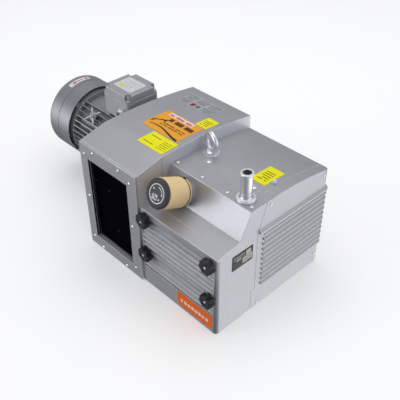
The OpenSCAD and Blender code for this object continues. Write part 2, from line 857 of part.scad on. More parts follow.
module knob_1() knob(0);
module knob_2() knob(1);
module knob_3() knob(2);
module knob_4() knob(3);

// ---- vacuum regulator ----

sleeve_wall = 5;
stem_r = 12;
seat_r = 7;
wheel_z = sleeve_off + sleeve_len + clear;

module regulator_body() color(steel) on_slope()
    difference() {
        union() {
            translate([0, 0, -30]) cylinder(r = 16, h = 36);
            translate([0, 0, 0]) cylinder(r = 29, h = sleeve_off - 4);
            cylinder(r = stem_r + 3, h = wheel_z - 8);
            translate([0, 0, sleeve_off - 4]) cylinder(r = sleeve_r - sleeve_wall - 1, h = 4);
        }
        translate([0, 0, -31]) cylinder(r = seat_r, h = 40);
        translate([0, 0, 0]) cylinder(r = stem_r, h = wheel_z);
        // cross holes let the bleed air in
        for (a = [0, 90])
            rotate(a) translate([-40, 0, sleeve_off + 10]) rotate([0, 90, 0])
                cylinder(r = 4, h = 80);
    }

module regulator_sleeve() color("navajowhite") on_slope()
    translate([0, 0, sleeve_off]) tube(sleeve_r, sleeve_r - sleeve_wall, sleeve_len);

module regulator_clamp() color(dark) on_slope() translate([0, 0, sleeve_off + 6]) {
    tube(sleeve_r + 0.8, sleeve_r + 0.05, 2);
    rotate(60) translate([sleeve_r + 0.4, -3, -1]) cube([3, 6, 4]);
}

module regulator_wheel() color(dark) on_slope() translate([0, 0, wheel_z]) {
    rim_t = 3;
    grips = 24;
    difference() {
        union() {
            cylinder(r = wheel_r, h = rim_t);
            translate([0, 0, rim_t])
                cylinder(r1 = wheel_r, r2 = wheel_face_r, h = wheel_t - rim_t);
        }
        translate([0, 0, wheel_t - 1.5]) cylinder(r = 25, h = 3);
        for (k = [0:grips - 1])
            rotate(k * 360 / grips) translate([wheel_r + 1, 0, -over])
                cylinder(r = 1.6, h = rim_t + over);
        translate([0, 0, -over]) tube(sleeve_r - sleeve_wall - 2, stem_r + 5, 4);
    }
    // the threaded spindle that loads the spring
    translate([0, 0, -14]) cylinder(r = 6, h = 15);
    translate([0, 0, -17]) cylinder(r = stem_r - clear, h = 4);
}

spring_low = 4.5;
spring_high = wheel_z - 17 - clear;

module regulator_spring() color(steel) on_slope() {
    turns = 6;
    steps = 14; // to a turn
    sides = 8;
    wire = 1.4;
    coil_r = 9;
    last = turns * steps;
    pitch = (spring_high - spring_low - 2 * wire) / last;
    points = [for (k = [0:last]) for (j = [0:sides - 1])
        let (a = 360 * k / steps, b = 360 * j / sides, r = coil_r + wire * cos(b))
        [r * cos(a), r * sin(a), spring_low + wire + k * pitch + wire * sin(b)]];
    sleeve = [for (k = [0:last - 1]) for (j = [0:sides - 1])
        let (n = (j + 1) % sides, p = k * sides)
        [p + j, p + n, p + sides + n, p + sides + j]];
    polyhedron(points, concat(sleeve,
        [[for (j = [sides - 1:-1:0]) j]], [[for (j = [0:sides - 1]) last * sides + j]]));
}

module regulator_poppet() color("goldenrod") on_slope() {
    translate([0, 0, clear]) cylinder(r = stem_r - clear, h = 4);
    translate([0, 0, 4]) cylinder(r = 5, h = 14);
    translate([0, 0, -8]) cylinder(r = seat_r - clear, h = 9);
}

// ---- pump stage ----

boss_front = 60; // distance of the cylinder's duct boss in front of the foot holes' centre
leg_w = 150;
tie_n = 6;
tie_r = (bore_r + cylinder_r) / 2;

module at_ties(x) {
    for (k = [0:tie_n - 1])
        translate([x, axis_y, axis_z - bore_drop]) rotate([30 + k * 360 / tie_n, 0, 0])
            translate([0, 0, tie_r]) rotate([0, 90, 0]) children();
}

module on_bore(x) translate([0, 0, -bore_drop]) on_shaft(x) children();

module cylinder_body() {
    rings = 9;
    ring_t = 4;
    pitch = cylinder_len / rings;
    on_bore(cylinder_x) cylinder(r = cylinder_r, h = cylinder_len);
    for (i = [0:rings - 1])
        on_bore(cylinder_x + (i + 0.5) * pitch - ring_t / 2) cylinder(r = cooling_ring_r, h = ring_t);
    // the ducts' boss and the lifting eye's boss
    translate([duct_x[0] - 22, -boss_front, duct_z - 20])
        cube([duct_x[1] - duct_x[0] + 44, boss_front + axis_y, 40]);
    translate([eye_x, eye_y, axis_z]) cylinder(r = 15, h = cylinder_top - axis_z - 1);
}

module cylinder_part() {
    difference() {
        cylinder_body();
        on_bore(cylinder_x - over) cylinder(r = bore_r, h = cylinder_len + 2 * over);
        for (x = duct_x)
            translate([x, -boss_front - over, duct_z]) rotate([-90, 0, 0])
                cylinder(r = duct_r - 4, h = 60);
        at_ties(cylinder_x - over) cylinder(r = 3.3, h = cylinder_len + 2 * over);
        translate([eye_x, eye_y, cylinder_top - 9]) cylinder(r = eye_shank_r + 0.1, h = 30);
    }
}

module plate_body(x) {
    on_bore(x) cylinder(r = plate_r, h = plate_t);
    translate([x, axis_y - leg_w / 2, base_t]) cube([plate_t, leg_w, axis_z - bore_drop - base_t]);
}

boss_r = bearing_r + 9;

module side_plate_drive() color(paint)
    difference() {
        union() {
            plate_body(cylinder_x - plate_t);
            on_shaft(cylinder_x - plate_t - 16) cylinder(r = boss_r, h = 20);
        }
        on_shaft(cylinder_x - plate_t - 20) cylinder(r = shaft_r + 1, h = 60);
        on_shaft(cylinder_x - plate_t - 17) cylinder(r = bearing_r, h = bearing_w + 3);
        on_shaft(cylinder_x - 11) cylinder(r = 24, h = 8);
        at_ties(cylinder_x - plate_t - over) cylinder(r = 3.3, h = 60);
    }

module side_plate_end() color(paint)
    difference() {
        union() {
            plate_body(plate_x);
            on_shaft(plate_x + plate_t - 1) cylinder(r = boss_r, h = bearing_w + 3);
        }
        on_shaft(plate_x - over) cylinder(r = shaft_r + 1, h = 60);
        on_shaft(plate_x + plate_t) cylinder(r = bearing_r, h = 60);
        at_ties(plate_x - over) cylinder(r = 3.3, h = plate_t + 2 * over);
    }

end_cap_x = plate_x + plate_t + bearing_w + 2;

module end_cap() color(paint) on_shaft(end_cap_x) {
    cylinder(r = boss_r, h = 4);
}

module tie_bolts() color(steel)
    at_ties(plate_x + plate_t) screw(6, 6, 3, cylinder_len + plate_t + 6);

// One closed ball bearing, shown as its rings
module bearing(x, r_out, r_shaft, width) {
    groove = 1.5;
    mid = (r_out + r_shaft) / 2;
    on_shaft(x) difference() {
        tube(r_out - 0.02, r_shaft + run, width);
        translate([0, 0, -over]) tube(mid + 4, mid - 4, groove + over);
        translate([0, 0, width - groove]) tube(mid + 4, mid - 4, groove + over);
    }
}

module pump_bearings() color(steel) {
    bearing(cylinder_x - plate_t - 14, bearing_r, shaft_r, bearing_w);
    bearing(plate_x + plate_t + 1, bearing_r, shaft_r, bearing_w);
}

module shaft_seal() color(dark)
    on_shaft(cylinder_x - 10.8) tube(23.98, shaft_r + run, 7.6);

rotor_x = cylinder_x + clear;
rotor_len = cylinder_len - 2 * clear;
fan_x = hub_x + hub_len + 4;

module pump_rotor() color(steel)
    difference() {
        union() {
            on_shaft(rotor_x) cylinder(r = rotor_r, h = rotor_len);
            on_shaft(hub_x + 2) cylinder(r = shaft_r, h = end_cap_x - 1 - hub_x - 2);
        }
        for (k = [0:vanes_n - 1])
            on_shaft(rotor_x - over, k * 360 / vanes_n)
                translate([-vane_t / 2, rotor_r - vane_depth, 0])
                    cube([vane_t, vane_depth + over, rotor_len + 2 * over]);
    }

module vanes() color(dark)
    for (k = [0:vanes_n - 1])
        on_shaft(rotor_x, k * 360 / vanes_n)
            translate([-vane_t / 2 + 0.1, rotor_r - vane_depth + 0.2, 0])
                cube([vane_t - 0.2, vane_depth - 0.8, rotor_len]);

// ---- coupling, cooling fan and lantern ----

module jaws(turn, length) {
    half_angle = 19;
    for (k = [0:2])
        rotate(turn + k * 120) intersection() {
            tube(hub_r - 1, 17, length);
            linear_extrude(length) polygon([
                [0, 0], [2 * hub_r * cos(half_angle), -2 * hub_r * sin(half_angle)],
                [2 * hub_r * cos(half_angle), 2 * hub_r * sin(half_angle)]]);
        }
}

module coupling_hub_pump() color(steel) {
    on_shaft(hub_x) tube(hub_r, shaft_r + 0.02, hub_len);
    on_shaft(hub_x - spider_t + 2) jaws(60, spider_t - 1);
}

module coupling_hub_motor() color(steel) {
    on_shaft(spider_x - hub_len) tube(hub_r, motor_shaft_r + 0.02, hub_len);
    on_shaft(spider_x - over) jaws(0, spider_t - 1);
}

module coupling_spider() color("gold")
    on_shaft(spider_x + 0.5) {
        tube(15, 8, spider_t - 1);
        for (k = [0:5])
            rotate(30 + k * 60) translate([13, -2.2, 0.5]) cube([hub_r - 14, 4.4, spider_t - 2]);
    }

module fan_wheel(x, hub, r_shaft, r_in, r_out, length, blades, back) {
    plate = 3;
    on_shaft(x) {
        tube(hub, r_shaft + 0.02, length);
        translate([0, 0, back ? length - plate : 0]) tube(r_out, hub - 0.5, plate);
        for (k = [0:blades - 1])
            rotate(k * 360 / blades) translate([r_in, -1.25, back ? 0 : plate - 0.5])
                cube([r_out - 3 - r_in, 2.5, length - plate + 0.5]);
    }
}

module cooling_fan() color(dark)
    fan_wheel(fan_x, 24, shaft_r, 60, fan_r, 50, fan_blades, true);

module lantern() color(paint) {
    ring_t = 12;
    side = 2 * post_half + 36;
    pump_ring_x = cylinder_x - plate_t - 8;
    motor_ring_x = motor_face + wall;
    difference() {
        union() {
            translate([motor_ring_x, axis_y - side / 2, axis_z - side / 2]) cube([ring_t, side, side]);
            translate([pump_ring_x, axis_y - side / 2, axis_z - side / 2]) cube([8, side, side]);
            for (y = [-post_half, post_half])
                for (z = [-post_half, post_half])
                    translate([motor_ring_x, axis_y + y, axis_z + z]) rotate([0, 90, 0])
                        cylinder(r = post_r, h = pump_ring_x + 4 - motor_ring_x);
            // two feet stand on the base plate
            translate([motor_ring_x, axis_y - side / 2, base_t]) cube([ring_t, side, axis_z - base_t]);
            translate([pump_ring_x, axis_y - side / 2, base_t]) cube([8, side, axis_z - base_t]);
        }
        on_shaft(motor_ring_x - over) cylinder(r = pilot_r + 0.05, h = ring_t + 2 * over);
        on_shaft(pump_ring_x - over) cylinder(r = 75, h = 8 + 2 * over);
    }
}

// ---- motor ----

module motor_shield() color(paint)
    difference() {
        union() {
            on_shaft(motor_face - flange_t) cylinder(r = flange_r, h = flange_t);
            on_shaft(motor_face - over) cylinder(r = pilot_r, h = wall + 12);
            on_shaft(motor_face - flange_t - 20) cylinder(r = 46, h = 24);
            on_shaft(motor_face - flange_t - 4) cylinder(r = frame_bore_r - 0.05, h = 5);
        }
        on_shaft(motor_face - flange_t - 30) cylinder(r = journal_r + 1, h = 80);
        on_shaft(motor_face - flange_t - 21) cylinder(r = 36, h = 19);
        on_shaft(motor_face - 10) cylinder(r = 26, h = 60);
        for (k = [0:3])
            on_shaft(motor_face - flange_t - over, 45 + k * 90)
                translate([0, flange_r - 8, 0]) cylinder(r = 5, h = flange_t + 2 * over);
    }

// Fins keep clear of the terminal box's pad and of the underside's flat
function fin_stands(a) = abs(a - 90) > 26;

module motor_frame() color(paint) {
    step = 360 / fin_steps;
    lug_angle = 132;
    lug_x = 70;
    lug_r = 15;
    difference() {
        union() {
            on_shaft(frame_x) cylinder(r = frame_r, h = frame_len);
            on_shaft(frame_x) cylinder(r = fin_r - 3, h = 8);
            on_shaft(frame_x + frame_len - 8) cylinder(r = fin_r - 3, h = 8);
            for (k = [0:fin_steps - 1])
                if (fin_stands(k * step))
                    translate([frame_x, axis_y, axis_z]) rotate([k * step, 0, 0])
                        translate([4, frame_r - 2, -1.3]) cube([frame_len - 8, fin_r - frame_r + 2, 2.6]);
            // pad under the terminal box
            translate([box_x - box_len / 2 + 4, box_y - 42, axis_z + 60])
                cube([box_len - 8, 84, fin_r - 60]);
            // cast boss at the front upper side
            translate([frame_x + lug_x - lug_r, axis_y, axis_z]) rotate([lug_angle, 0, 0])
                translate([0, frame_r - 2, -lug_r + 4])
                    cube([2 * lug_r, fin_r - frame_r + 2, 2 * lug_r - 8]);
            translate([frame_x + lug_x, axis_y, axis_z]) rotate([lug_angle, 0, 0])
                translate([0, frame_r - 2, 0]) rotate([-90, 0, 0]) cylinder(r = 9, h = fin_r - frame_r + 8);
        }
        on_shaft(frame_x - over) cylinder(r = frame_bore_r, h = frame_len + 2 * over);
        translate([box_x, box_y, axis_z + 50]) cylinder(r = 14, h = fin_r);
    }
}

core_x = frame_x + (frame_len - core_len) / 2;

module motor_stator() color("dimgray")
    on_shaft(core_x) tube(frame_bore_r - 0.05, 52, core_len);

module motor_windings() color("peru") {
    on_shaft(core_x - 25) tube(74, 56, 25);
    on_shaft(core_x + core_len) tube(74, 56, 25);
}

module motor_core() color("gray")
    on_shaft(core_x) tube(52 - clear, journal_r + 0.02, core_len);

end_shield_x = frame_x - shield_t;
fan_seat = end_shield_x - 26;

module motor_shaft() color(steel) {
    on_shaft(motor_face - 10) cylinder(r = motor_shaft_r, h = shaft_end + 8);
    on_shaft(fan_seat - 20) cylinder(r = motor_shaft_r, h = 60);
    on_shaft(end_shield_x - 2) cylinder(r = journal_r, h = motor_face - end_shield_x - 2);
}

module motor_end_shield() color(paint)
    difference() {
        union() {
            on_shaft(end_shield_x) cylinder(r = fin_r, h = shield_t);
            on_shaft(frame_x - over) cylinder(r = 44, h = 18);
            on_shaft(frame_x - over) cylinder(r = frame_bore_r - 0.05, h = 5);
            for (k = [0:3])
                on_shaft(end_shield_x, 40 + k * 90) translate([-7, 90, 0])
                    cube([14, cowl_r - cowl_t - 0.5 - 90, 10]);
        }
        on_shaft(end_shield_x - over) cylinder(r = journal_r + 1, h = 60);
        on_shaft(end_shield_x + 5) cylinder(r = 36, h = 60);
    }

module motor_bearings() color(steel) {
    bearing(motor_face - flange_t - 20, 36, journal_r, 18);
    bearing(end_shield_x + 5, 36, journal_r, 18);
}

module motor_fan() color(dark)
    fan_wheel(fan_seat - 18, 22, motor_shaft_r, 34, 100, 36, 9, true);

module fan_cowl() color(paint) {
    edge_r = 12;
    floor_r = 12;
    difference() {
        on_shaft(cowl_x) rotate_extrude() difference() {
            union() {
                translate([0, 0]) square([cowl_r - edge_r, cowl_len]);
                translate([0, edge_r]) square([cowl_r, cowl_len - edge_r]);
                translate([cowl_r - edge_r, edge_r]) intersection() {
                    circle(r = edge_r);
                    translate([0, -edge_r]) square([edge_r, edge_r]);
                }
            }
            translate([-over, cowl_t]) square([cowl_r - edge_r + over, cowl_len]);
            translate([-over, edge_r]) square([cowl_r - cowl_t + over, cowl_len]);
            translate([cowl_r - edge_r, edge_r]) intersection() {
                circle(r = edge_r - cowl_t);
                translate([0, -edge_r]) square([edge_r, edge_r]);
            }
        }
        // rolled bead around the cowl
        on_shaft(cowl_x + 50) tube(cowl_r + 2, cowl_r - 0.8, 2);
        // air inlet grille: rings of slots between six spokes
        for (r = [floor_r + 8:11:floor_r + 74])
            on_shaft(cowl_x - over) difference() {
                tube(r + 7, r, cowl_t + 2 * over);
                for (k = [0:5])
                    rotate(k * 60) translate([0, -3, -over]) cube([far, 6, 10]);
            }
    }
}

// ---- terminal box ----

box_base_h = axis_z + fin_r; // the pad's top face

module rounded_block(length, width, height, r) {
    linear_extrude(height) {
        square([length - 2 * r, width], center = true);
        square([length, width - 2 * r], center = true);
        for (x = [-1, 1])
            for (y = [-1, 1])
                translate([x * (length / 2 - r), y * (width / 2 - r)]) circle(r = r);
    }
}

module at_lid_screws(z) {
    for (x = [-1, 1])
        for (y = [-1, 1])
            translate([box_x + x * (box_len / 2 - 9), box_y + y * (box_w / 2 - 9), z]) children();
}

module terminal_box() color(paint)
    difference() {
        union() {
            translate([box_x, box_y, box_base_h])
                rounded_block(box_len, box_w, box_rim_h - box_base_h, 8);
            // cable gland on the front side
            translate([box_x + box_len / 2 - 24, box_y - box_w / 2 + 2, (box_base_h + box_rim_h) / 2])
                rotate([90, 0, 0]) {
                    cylinder(r = 13, h = 10, $fn = 6);
                    cylinder(r = 11, h = 16);
                    translate([0, 0, 14]) cylinder(r1 = 11, r2 = 8, h = 6);
                }
        }
        translate([box_x, box_y, box_base_h + wall])
            rounded_block(box_len - 8, box_w - 34, box_rim_h - box_base_h, 4);
        translate([box_x, box_y, box_base_h + wall])
            rounded_block(box_len - 34, box_w - 8, box_rim_h - box_base_h, 4);
        translate([box_x, box_y, box_base_h - over]) cylinder(r = 14, h = 10);
        at_lid_screws(box_rim_h - 12) cylinder(r = 2.2, h = 20);
        translate([box_x + box_len / 2 - 24, box_y - box_w / 2 + 8, (box_base_h + box_rim_h) / 2])
            rotate([90, 0, 0]) cylinder(r = 6, h = 60);
    }

module terminal_lid() color(paint) {
    difference() {
        translate([box_x, box_y, box_rim_h]) rounded_block(box_len - 2, box_w - 2, lid_h, 8);
        // the screws sit in notched corners
        at_lid_screws(box_rim_h + 6) {
            cylinder(r = 9, h = lid_h);
        }
        translate([box_x, box_y, box_rim_h - over])
            rounded_block(box_len - 42, box_w - 10, lid_h - 3 + over, 4);
    }
    at_lid_screws(box_rim_h + 6) screw(5, 4, 2.2, 14);
}

module terminal_block() color("saddlebrown")
    translate([box_x, box_y, box_base_h + wall]) {
        translate([-30, 16, 0]) cube([60, 26, 16]);
        for (k = [-1:1]) translate([k * 18, 22, 15]) cylinder(r = 2.5, h = 12);
        for (k = [-1:1]) translate([k * 18, 36, 15]) cylinder(r = 2.5, h = 12);
    }

// ---- plates and labels ----

module rating_plate() color("black")
    translate([casing_len, -144, 177]) cube([0.8, 68, 43]);

module labels() color("yellow") {
    dome_label(-150, 130, -51, 42, hood_a, hood_b, hood_arch);
    dome_label(-98, 90, -110, -55, hood_a, hood_b, hood_arch);
    dome_label(-53, 38, 44, 93, hood_a, hood_b, hood_arch);
    dome_label(-188, 132, 96, 165, hood_a, hood_b, hood_arch);
    dome_label(casing_len - 90, 45, 5, 78, casing_a, casing_b, casing_arch);
    translate([box_x - 37, box_y - 30, box_rim_h + lid_h]) cube([74, 60, label_t]);
    on_shaft(cowl_x + 23) rotate([0, 0, 166])
        rotate_extrude(angle = 36) translate([cowl_r + 0.05, 0]) square([label_t, 18]);
}

base_plate();
coupling_hood();
outlet_frame();
outlet_mat();
frame_screws();
pump_casing();
end_cover();
end_cover_screws();
top_screws();
top_plugs();
lifting_eye();
suction_nozzle();
suction_pipe();
check_valve_disc();
filter_housing();
inlet_filter();
exhaust_filter();
transfer_ducts();
filter_cover();
cover_gasket();
name_plate();
knob_1();
knob_2();
knob_3();
knob_4();
regulator_body();
regulator_sleeve();
regulator_clamp();
regulator_wheel();
regulator_spring();
regulator_poppet();
color(paint) cylinder_part();  // cylinder
side_plate_drive();
side_plate_end();
end_cap();
tie_bolts();
pump_bearings();
shaft_seal();
lantern();
pump_rotor();
vanes();
coupling_hub_pump();
cooling_fan();
coupling_spider();
coupling_hub_motor();
motor_shaft();
motor_core();
motor_fan();
motor_shield();
motor_frame();
motor_stator();
motor_windings();
motor_end_shield();
motor_bearings();
fan_cowl();
terminal_box();
terminal_lid();
terminal_block();
rating_plate();
labels();
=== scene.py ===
"""Looks of a dry rotary vane vacuum pump: painted castings, zinc fittings, rubber and printed films."""

import json
import math

import bpy
from mathutils import Matrix, Vector


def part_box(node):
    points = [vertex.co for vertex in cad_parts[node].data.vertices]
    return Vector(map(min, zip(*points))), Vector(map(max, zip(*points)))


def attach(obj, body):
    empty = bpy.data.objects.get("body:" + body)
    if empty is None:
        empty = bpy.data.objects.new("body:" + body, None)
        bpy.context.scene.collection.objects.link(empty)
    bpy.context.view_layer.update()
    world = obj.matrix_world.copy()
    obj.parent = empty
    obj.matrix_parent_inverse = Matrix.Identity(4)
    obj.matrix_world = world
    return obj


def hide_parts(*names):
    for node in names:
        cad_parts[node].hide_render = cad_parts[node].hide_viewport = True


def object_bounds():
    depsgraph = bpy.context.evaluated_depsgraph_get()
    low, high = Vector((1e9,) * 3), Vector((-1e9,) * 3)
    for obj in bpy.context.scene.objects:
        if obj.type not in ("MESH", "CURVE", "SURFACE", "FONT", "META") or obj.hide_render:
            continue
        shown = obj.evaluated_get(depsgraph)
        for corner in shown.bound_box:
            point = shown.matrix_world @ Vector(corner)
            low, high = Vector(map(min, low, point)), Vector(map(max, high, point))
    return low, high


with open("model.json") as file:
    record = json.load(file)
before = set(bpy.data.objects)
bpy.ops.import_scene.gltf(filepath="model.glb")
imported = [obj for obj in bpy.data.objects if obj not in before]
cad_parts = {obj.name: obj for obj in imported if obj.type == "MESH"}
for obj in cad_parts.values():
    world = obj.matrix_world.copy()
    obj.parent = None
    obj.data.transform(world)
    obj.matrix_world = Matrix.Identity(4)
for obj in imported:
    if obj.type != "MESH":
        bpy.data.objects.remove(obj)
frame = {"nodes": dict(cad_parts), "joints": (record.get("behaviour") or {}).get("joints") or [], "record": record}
cad_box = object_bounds()

MM = 0.001
RECORD = frame["record"]
NODES = frame["nodes"]
JOINTS = {joint["name"]: joint for joint in frame["joints"]}
MOUNTS = {mount["name"]: mount for mount in RECORD["mounts"]}
BODY_OF = {node: body for body, nodes in RECORD["behaviour"]["bodies"].items() for node in nodes}
SLOT_OF = {part["node"]: part["material_slot"] for part in RECORD["subparts"]}


# ---- colours and shader maths ----

def rgb(red, green, blue):
    return (red, green, blue, 1.0)


def shade(colour, share):
    """The same colour, lighter or darker."""
    return tuple(min(1.0, part * share) for part in colour[:3]) + (1.0,)


def maths(operation, swapped=False):
    """A method that puts a signal and what it meets through one Math node."""
    def method(signal, *others):
        values = (signal, *others)
        inputs = values[::-1] if swapped else values
        return signal.finish.add("ShaderNodeMath", {"operation": operation}, dict(enumerate(inputs)))

    return method


class Signal:
    """A value that changes over a surface. Arithmetic on it adds Math nodes."""

    def __init__(self, finish, socket):
        self.finish = finish
        self.socket = socket

    __add__ = __radd__ = maths("ADD")
    __sub__ = maths("SUBTRACT")
    __rsub__ = maths("SUBTRACT", swapped=True)
    __mul__ = __rmul__ = maths("MULTIPLY")
    __truediv__ = maths("DIVIDE")
    __mod__ = maths("FLOORED_MODULO")
    __pow__ = maths("POWER")
    __gt__ = maths("GREATER_THAN")
    __lt__ = maths("LESS_THAN")
    __abs__ = maths("ABSOLUTE")
    floor = maths("FLOOR")
    sine = maths("SINE")
    turn_from = maths("ARCTAN2")

    def between(self, low, high):
        """One inside the range and zero outside it."""
        return (self > low) * (self < high)

    def ramp(self, low, high):
        """Rises from 0 at low to 1 at high and stays there."""
        return self.finish.add("ShaderNodeMapRange", {"clamp": True}, {0: self, 1: low, 2: high})


class Finish:
    """One material: a Principled shader and the nodes that vary it."""

    def __init__(self, name, constants):
        self.material = bpy.data.materials.new(name)
        self.material.use_nodes = True
        self.tree = self.material.node_tree
        self.shader = self.tree.nodes["Principled BSDF"]
        for socket, value in constants.items():
            self.shader.inputs[socket].default_value = value

    def add(self, kind, settings=None, sockets=None, out=0):
        """Adds one node: its settings first, then the values or links of its sockets."""
        node = self.tree.nodes.new(kind)
        for name, value in (settings or {}).items():
            setattr(node, name, value)
        for key, value in (sockets or {}).items():
            if isinstance(value, Signal):
                self.tree.links.new(value.socket, node.inputs[key])
            else:
                node.inputs[key].default_value = value
        return Signal(self, node.outputs[out])

    def drive(self, **signals):
        """Links signals to the shader's sockets, named with _ for a space."""
        for name, signal in signals.items():
            self.tree.links.new(signal.socket, self.shader.inputs[name.replace("_", " ")])
        return self.material

    def place(self, origin=(0, 0, 0), turn=(0, 0, 0)):
        """Object coordinates in metres, from an origin and turned."""
        here = self.add("ShaderNodeTexCoord", out="Object")
        return self.add("ShaderNodeMapping", {"vector_type": "TEXTURE"},
                        {"Vector": here, "Location": origin, "Rotation": turn})

    def stretch(self, vector, scale):
        return self.add("ShaderNodeVectorMath", {"operation": "MULTIPLY"}, {0: vector, 1: scale})

    def axes(self, vector):
        first = self.add("ShaderNodeSeparateXYZ", sockets={0: vector})
        return [Signal(self, socket) for socket in first.socket.node.outputs]

    def normal_up(self):
        """How far the surface faces up, from -1 to 1."""
        geometry = self.add("ShaderNodeNewGeometry", out="True Normal")
        return self.axes(geometry)[2]

    def noise(self, vector, scale, detail=2.0, roughness=0.5):
        return self.add("ShaderNodeTexNoise", sockets={
            "Vector": vector, "Scale": scale, "Detail": detail, "Roughness": roughness})

    def cells(self, vector, scale, feature="F1", out="Distance"):
        return self.add("ShaderNodeTexVoronoi", {"feature": feature},
                        {"Vector": vector, "Scale": scale}, out)

    def chance(self, across, along):
        """A random number for each pair of whole numbers."""
        pair = self.add("ShaderNodeCombineXYZ", sockets={0: across, 1: along})
        return self.add("ShaderNodeTexWhiteNoise", {"noise_dimensions": "2D"}, {"Vector": pair})

    def mix(self, mask, first, second):
        return self.add("ShaderNodeMix", {"data_type": "RGBA"}, {0: mask, 6: first, 7: second}, 2)

    def bump(self, height, distance, strength=1.0):
        return self.add("ShaderNodeBump", sockets={
            "Height": height, "Distance": distance, "Strength": strength})


# ---- finishes ----

def cast_paint(name, colour, roughness=0.42, metal=0.5, grain=1.0):
    """Satin silver paint over a sand casting: fine grain, faint clouds, dust on what faces up."""
    finish = Finish(name, {"Metallic": metal})
    here = finish.place()
    clouds = finish.noise(here, 11.0, 3.0)
    grains = finish.noise(here, 900.0, 3.0, 0.6)
    peel = finish.noise(here, 260.0, 2.0)
    dust = finish.normal_up().ramp(0.4, 1.0) * finish.noise(here, 34.0, 4.0, 0.65).ramp(0.45, 0.75)
    toned = finish.mix(clouds, shade(colour, 0.94), shade(colour, 1.05))
    flecked = finish.mix(grains.ramp(0.55, 0.75) * 0.25, toned, shade(colour, 1.2))
    dusted = finish.mix(dust * 0.12, flecked, rgb(0.55, 0.53, 0.50))
    return finish.drive(
        Base_Color=dusted,
        Roughness=roughness + (peel - 0.5) * 0.16 + dust * 0.08,
        Normal=finish.bump(grains * 0.7 + peel * 0.6, 0.00012 * grain))


def edge_paint_worn_and_highlit(name, colour):
    """The same paint on an edge, worn paler where it is thin and lightened further as a painted highlight."""
    finish = Finish(name, {"Metallic": 0.35})
    here = finish.place()
    rubbed_and_highlit = finish.noise(here, 60.0, 4.0, 0.7).ramp(0.35, 0.65)
    # Painted highlight: the edge colour is 1.25 to 1.7 times the paint, partly wear and partly the light that
    # edges catch.
    return finish.drive(
        Base_Color=finish.mix(rubbed_and_highlit, shade(colour, 1.25), shade(colour, 1.7)),
        Roughness=0.42 - rubbed_and_highlit * 0.12,
        Normal=finish.bump(finish.noise(here, 900.0, 3.0), 0.00008))


def flange_with_painted_highlight(name, colour, seam_y):
    """A flange face with a fine lay from the cutter and one joint line. Its colour, paler than the cast paint, is
    a painted highlight.
    """
    finish = Finish(name, {"Metallic": 0.3})
    here = finish.place()
    lay = finish.noise(finish.stretch(here, (1.0, 30.0, 2500.0)), 1.0, 2.0)
    clouds = finish.noise(here, 14.0, 3.0)
    joint = abs(finish.axes(here)[1] - seam_y) < 0.0006
    toned = finish.mix(clouds, shade(colour, 0.95), shade(colour, 1.04))
    return finish.drive(
        Base_Color=finish.mix(joint, toned, shade(colour, 0.45)),
        Roughness=0.36 + lay * 0.12,
        Normal=finish.bump(lay * 0.3 - joint, 0.0002))


def zinc(name, colour, roughness=0.26):
    """Bright zinc plating with a faint bluish cloud and rub marks."""
    finish = Finish(name, {"Metallic": 1.0})
    here = finish.place()
    clouds = finish.noise(here, 90.0, 3.0)
    rubs = finish.noise(finish.stretch(here, (1.0, 1.0, 6.0)), 320.0, 2.0)
    return finish.drive(
        Base_Color=finish.mix(clouds, shade(colour, 0.9), shade(colour, 1.08)),
        Roughness=roughness + clouds * 0.12 + rubs * 0.06,
        Normal=finish.bump(rubs, 0.00002))


def turned_steel(name, colour):
    """Ground or turned steel with a lay round the shaft."""
    finish = Finish(name, {"Metallic": 1.0})
    here = finish.place()
    lay = finish.noise(finish.stretch(here, (2200.0, 20.0, 20.0)), 1.0, 3.0)
    film = finish.noise(here, 26.0, 3.0)
    return finish.drive(
        Base_Color=finish.mix(film, shade(colour, 0.85), colour),
        Roughness=0.25 + lay * 0.15 + film * 0.1,
        Normal=finish.bump(lay, 0.00002))


def grey_iron(name, colour):
    """Bare grey iron: coarse sand grain and darker stains."""
    finish = Finish(name, {"Metallic": 0.6})
    here = finish.place()
    grain = finish.noise(here, 600.0, 4.0, 0.65)
    stains = finish.noise(here, 18.0, 4.0)
    return finish.drive(
        Base_Color=finish.mix(stains.ramp(0.35, 0.7), shade(colour, 0.75), shade(colour, 1.15)),
        Roughness=0.55 + grain * 0.2,
        Normal=finish.bump(grain, 0.0002))


def sheet_stack(name, colour):
    """Thin steel sheets stacked along the shaft."""
    finish = Finish(name, {"Metallic": 0.7})
    here = finish.place()
    sheets = (finish.axes(here)[0] * (math.tau / 0.001)).sine()
    return finish.drive(
        Base_Color=finish.mix(sheets.ramp(-1.0, 1.0), shade(colour, 0.6), colour),
        Roughness=0.5 + finish.noise(here, 80.0) * 0.15,
        Normal=finish.bump(sheets, 0.0001))


def copper_wire(name, colour):
    """Varnished wire laid round the winding's head."""
    finish = Finish(name, {"Metallic": 0.8, "Coat Weight": 0.6, "Coat Roughness": 0.2})
    here = finish.place()
    _, across, up = finish.axes(here)
    wires = finish.noise(finish.stretch(here, (900.0, 60.0, 60.0)), 1.0, 2.0)
    tone = finish.mix(wires, shade(colour, 0.5), shade(colour, 1.2))
    return finish.drive(
        Base_Color=tone,
        Roughness=0.35 + (across * 400.0 + up * 300.0).sine() * 0.05,
        Normal=finish.bump(wires, 0.0006))


def moulded(name, colour, roughness=0.45, texture=420.0, depth=0.00006):
    """Moulded plastic with a spark-eroded texture, greyer where it is handled."""
    finish = Finish(name, {"Specular IOR Level": 0.5})
    here = finish.place()
    spark = finish.noise(here, texture * 2.5, 3.0, 0.6)
    handled = finish.noise(here, 55.0, 3.0).ramp(0.4, 0.75)
    return finish.drive(
        Base_Color=finish.mix(handled * 0.5, colour, shade(colour, 1.9)),
        Roughness=roughness + spark * 0.18 - handled * 0.08,
        Normal=finish.bump(spark, depth))


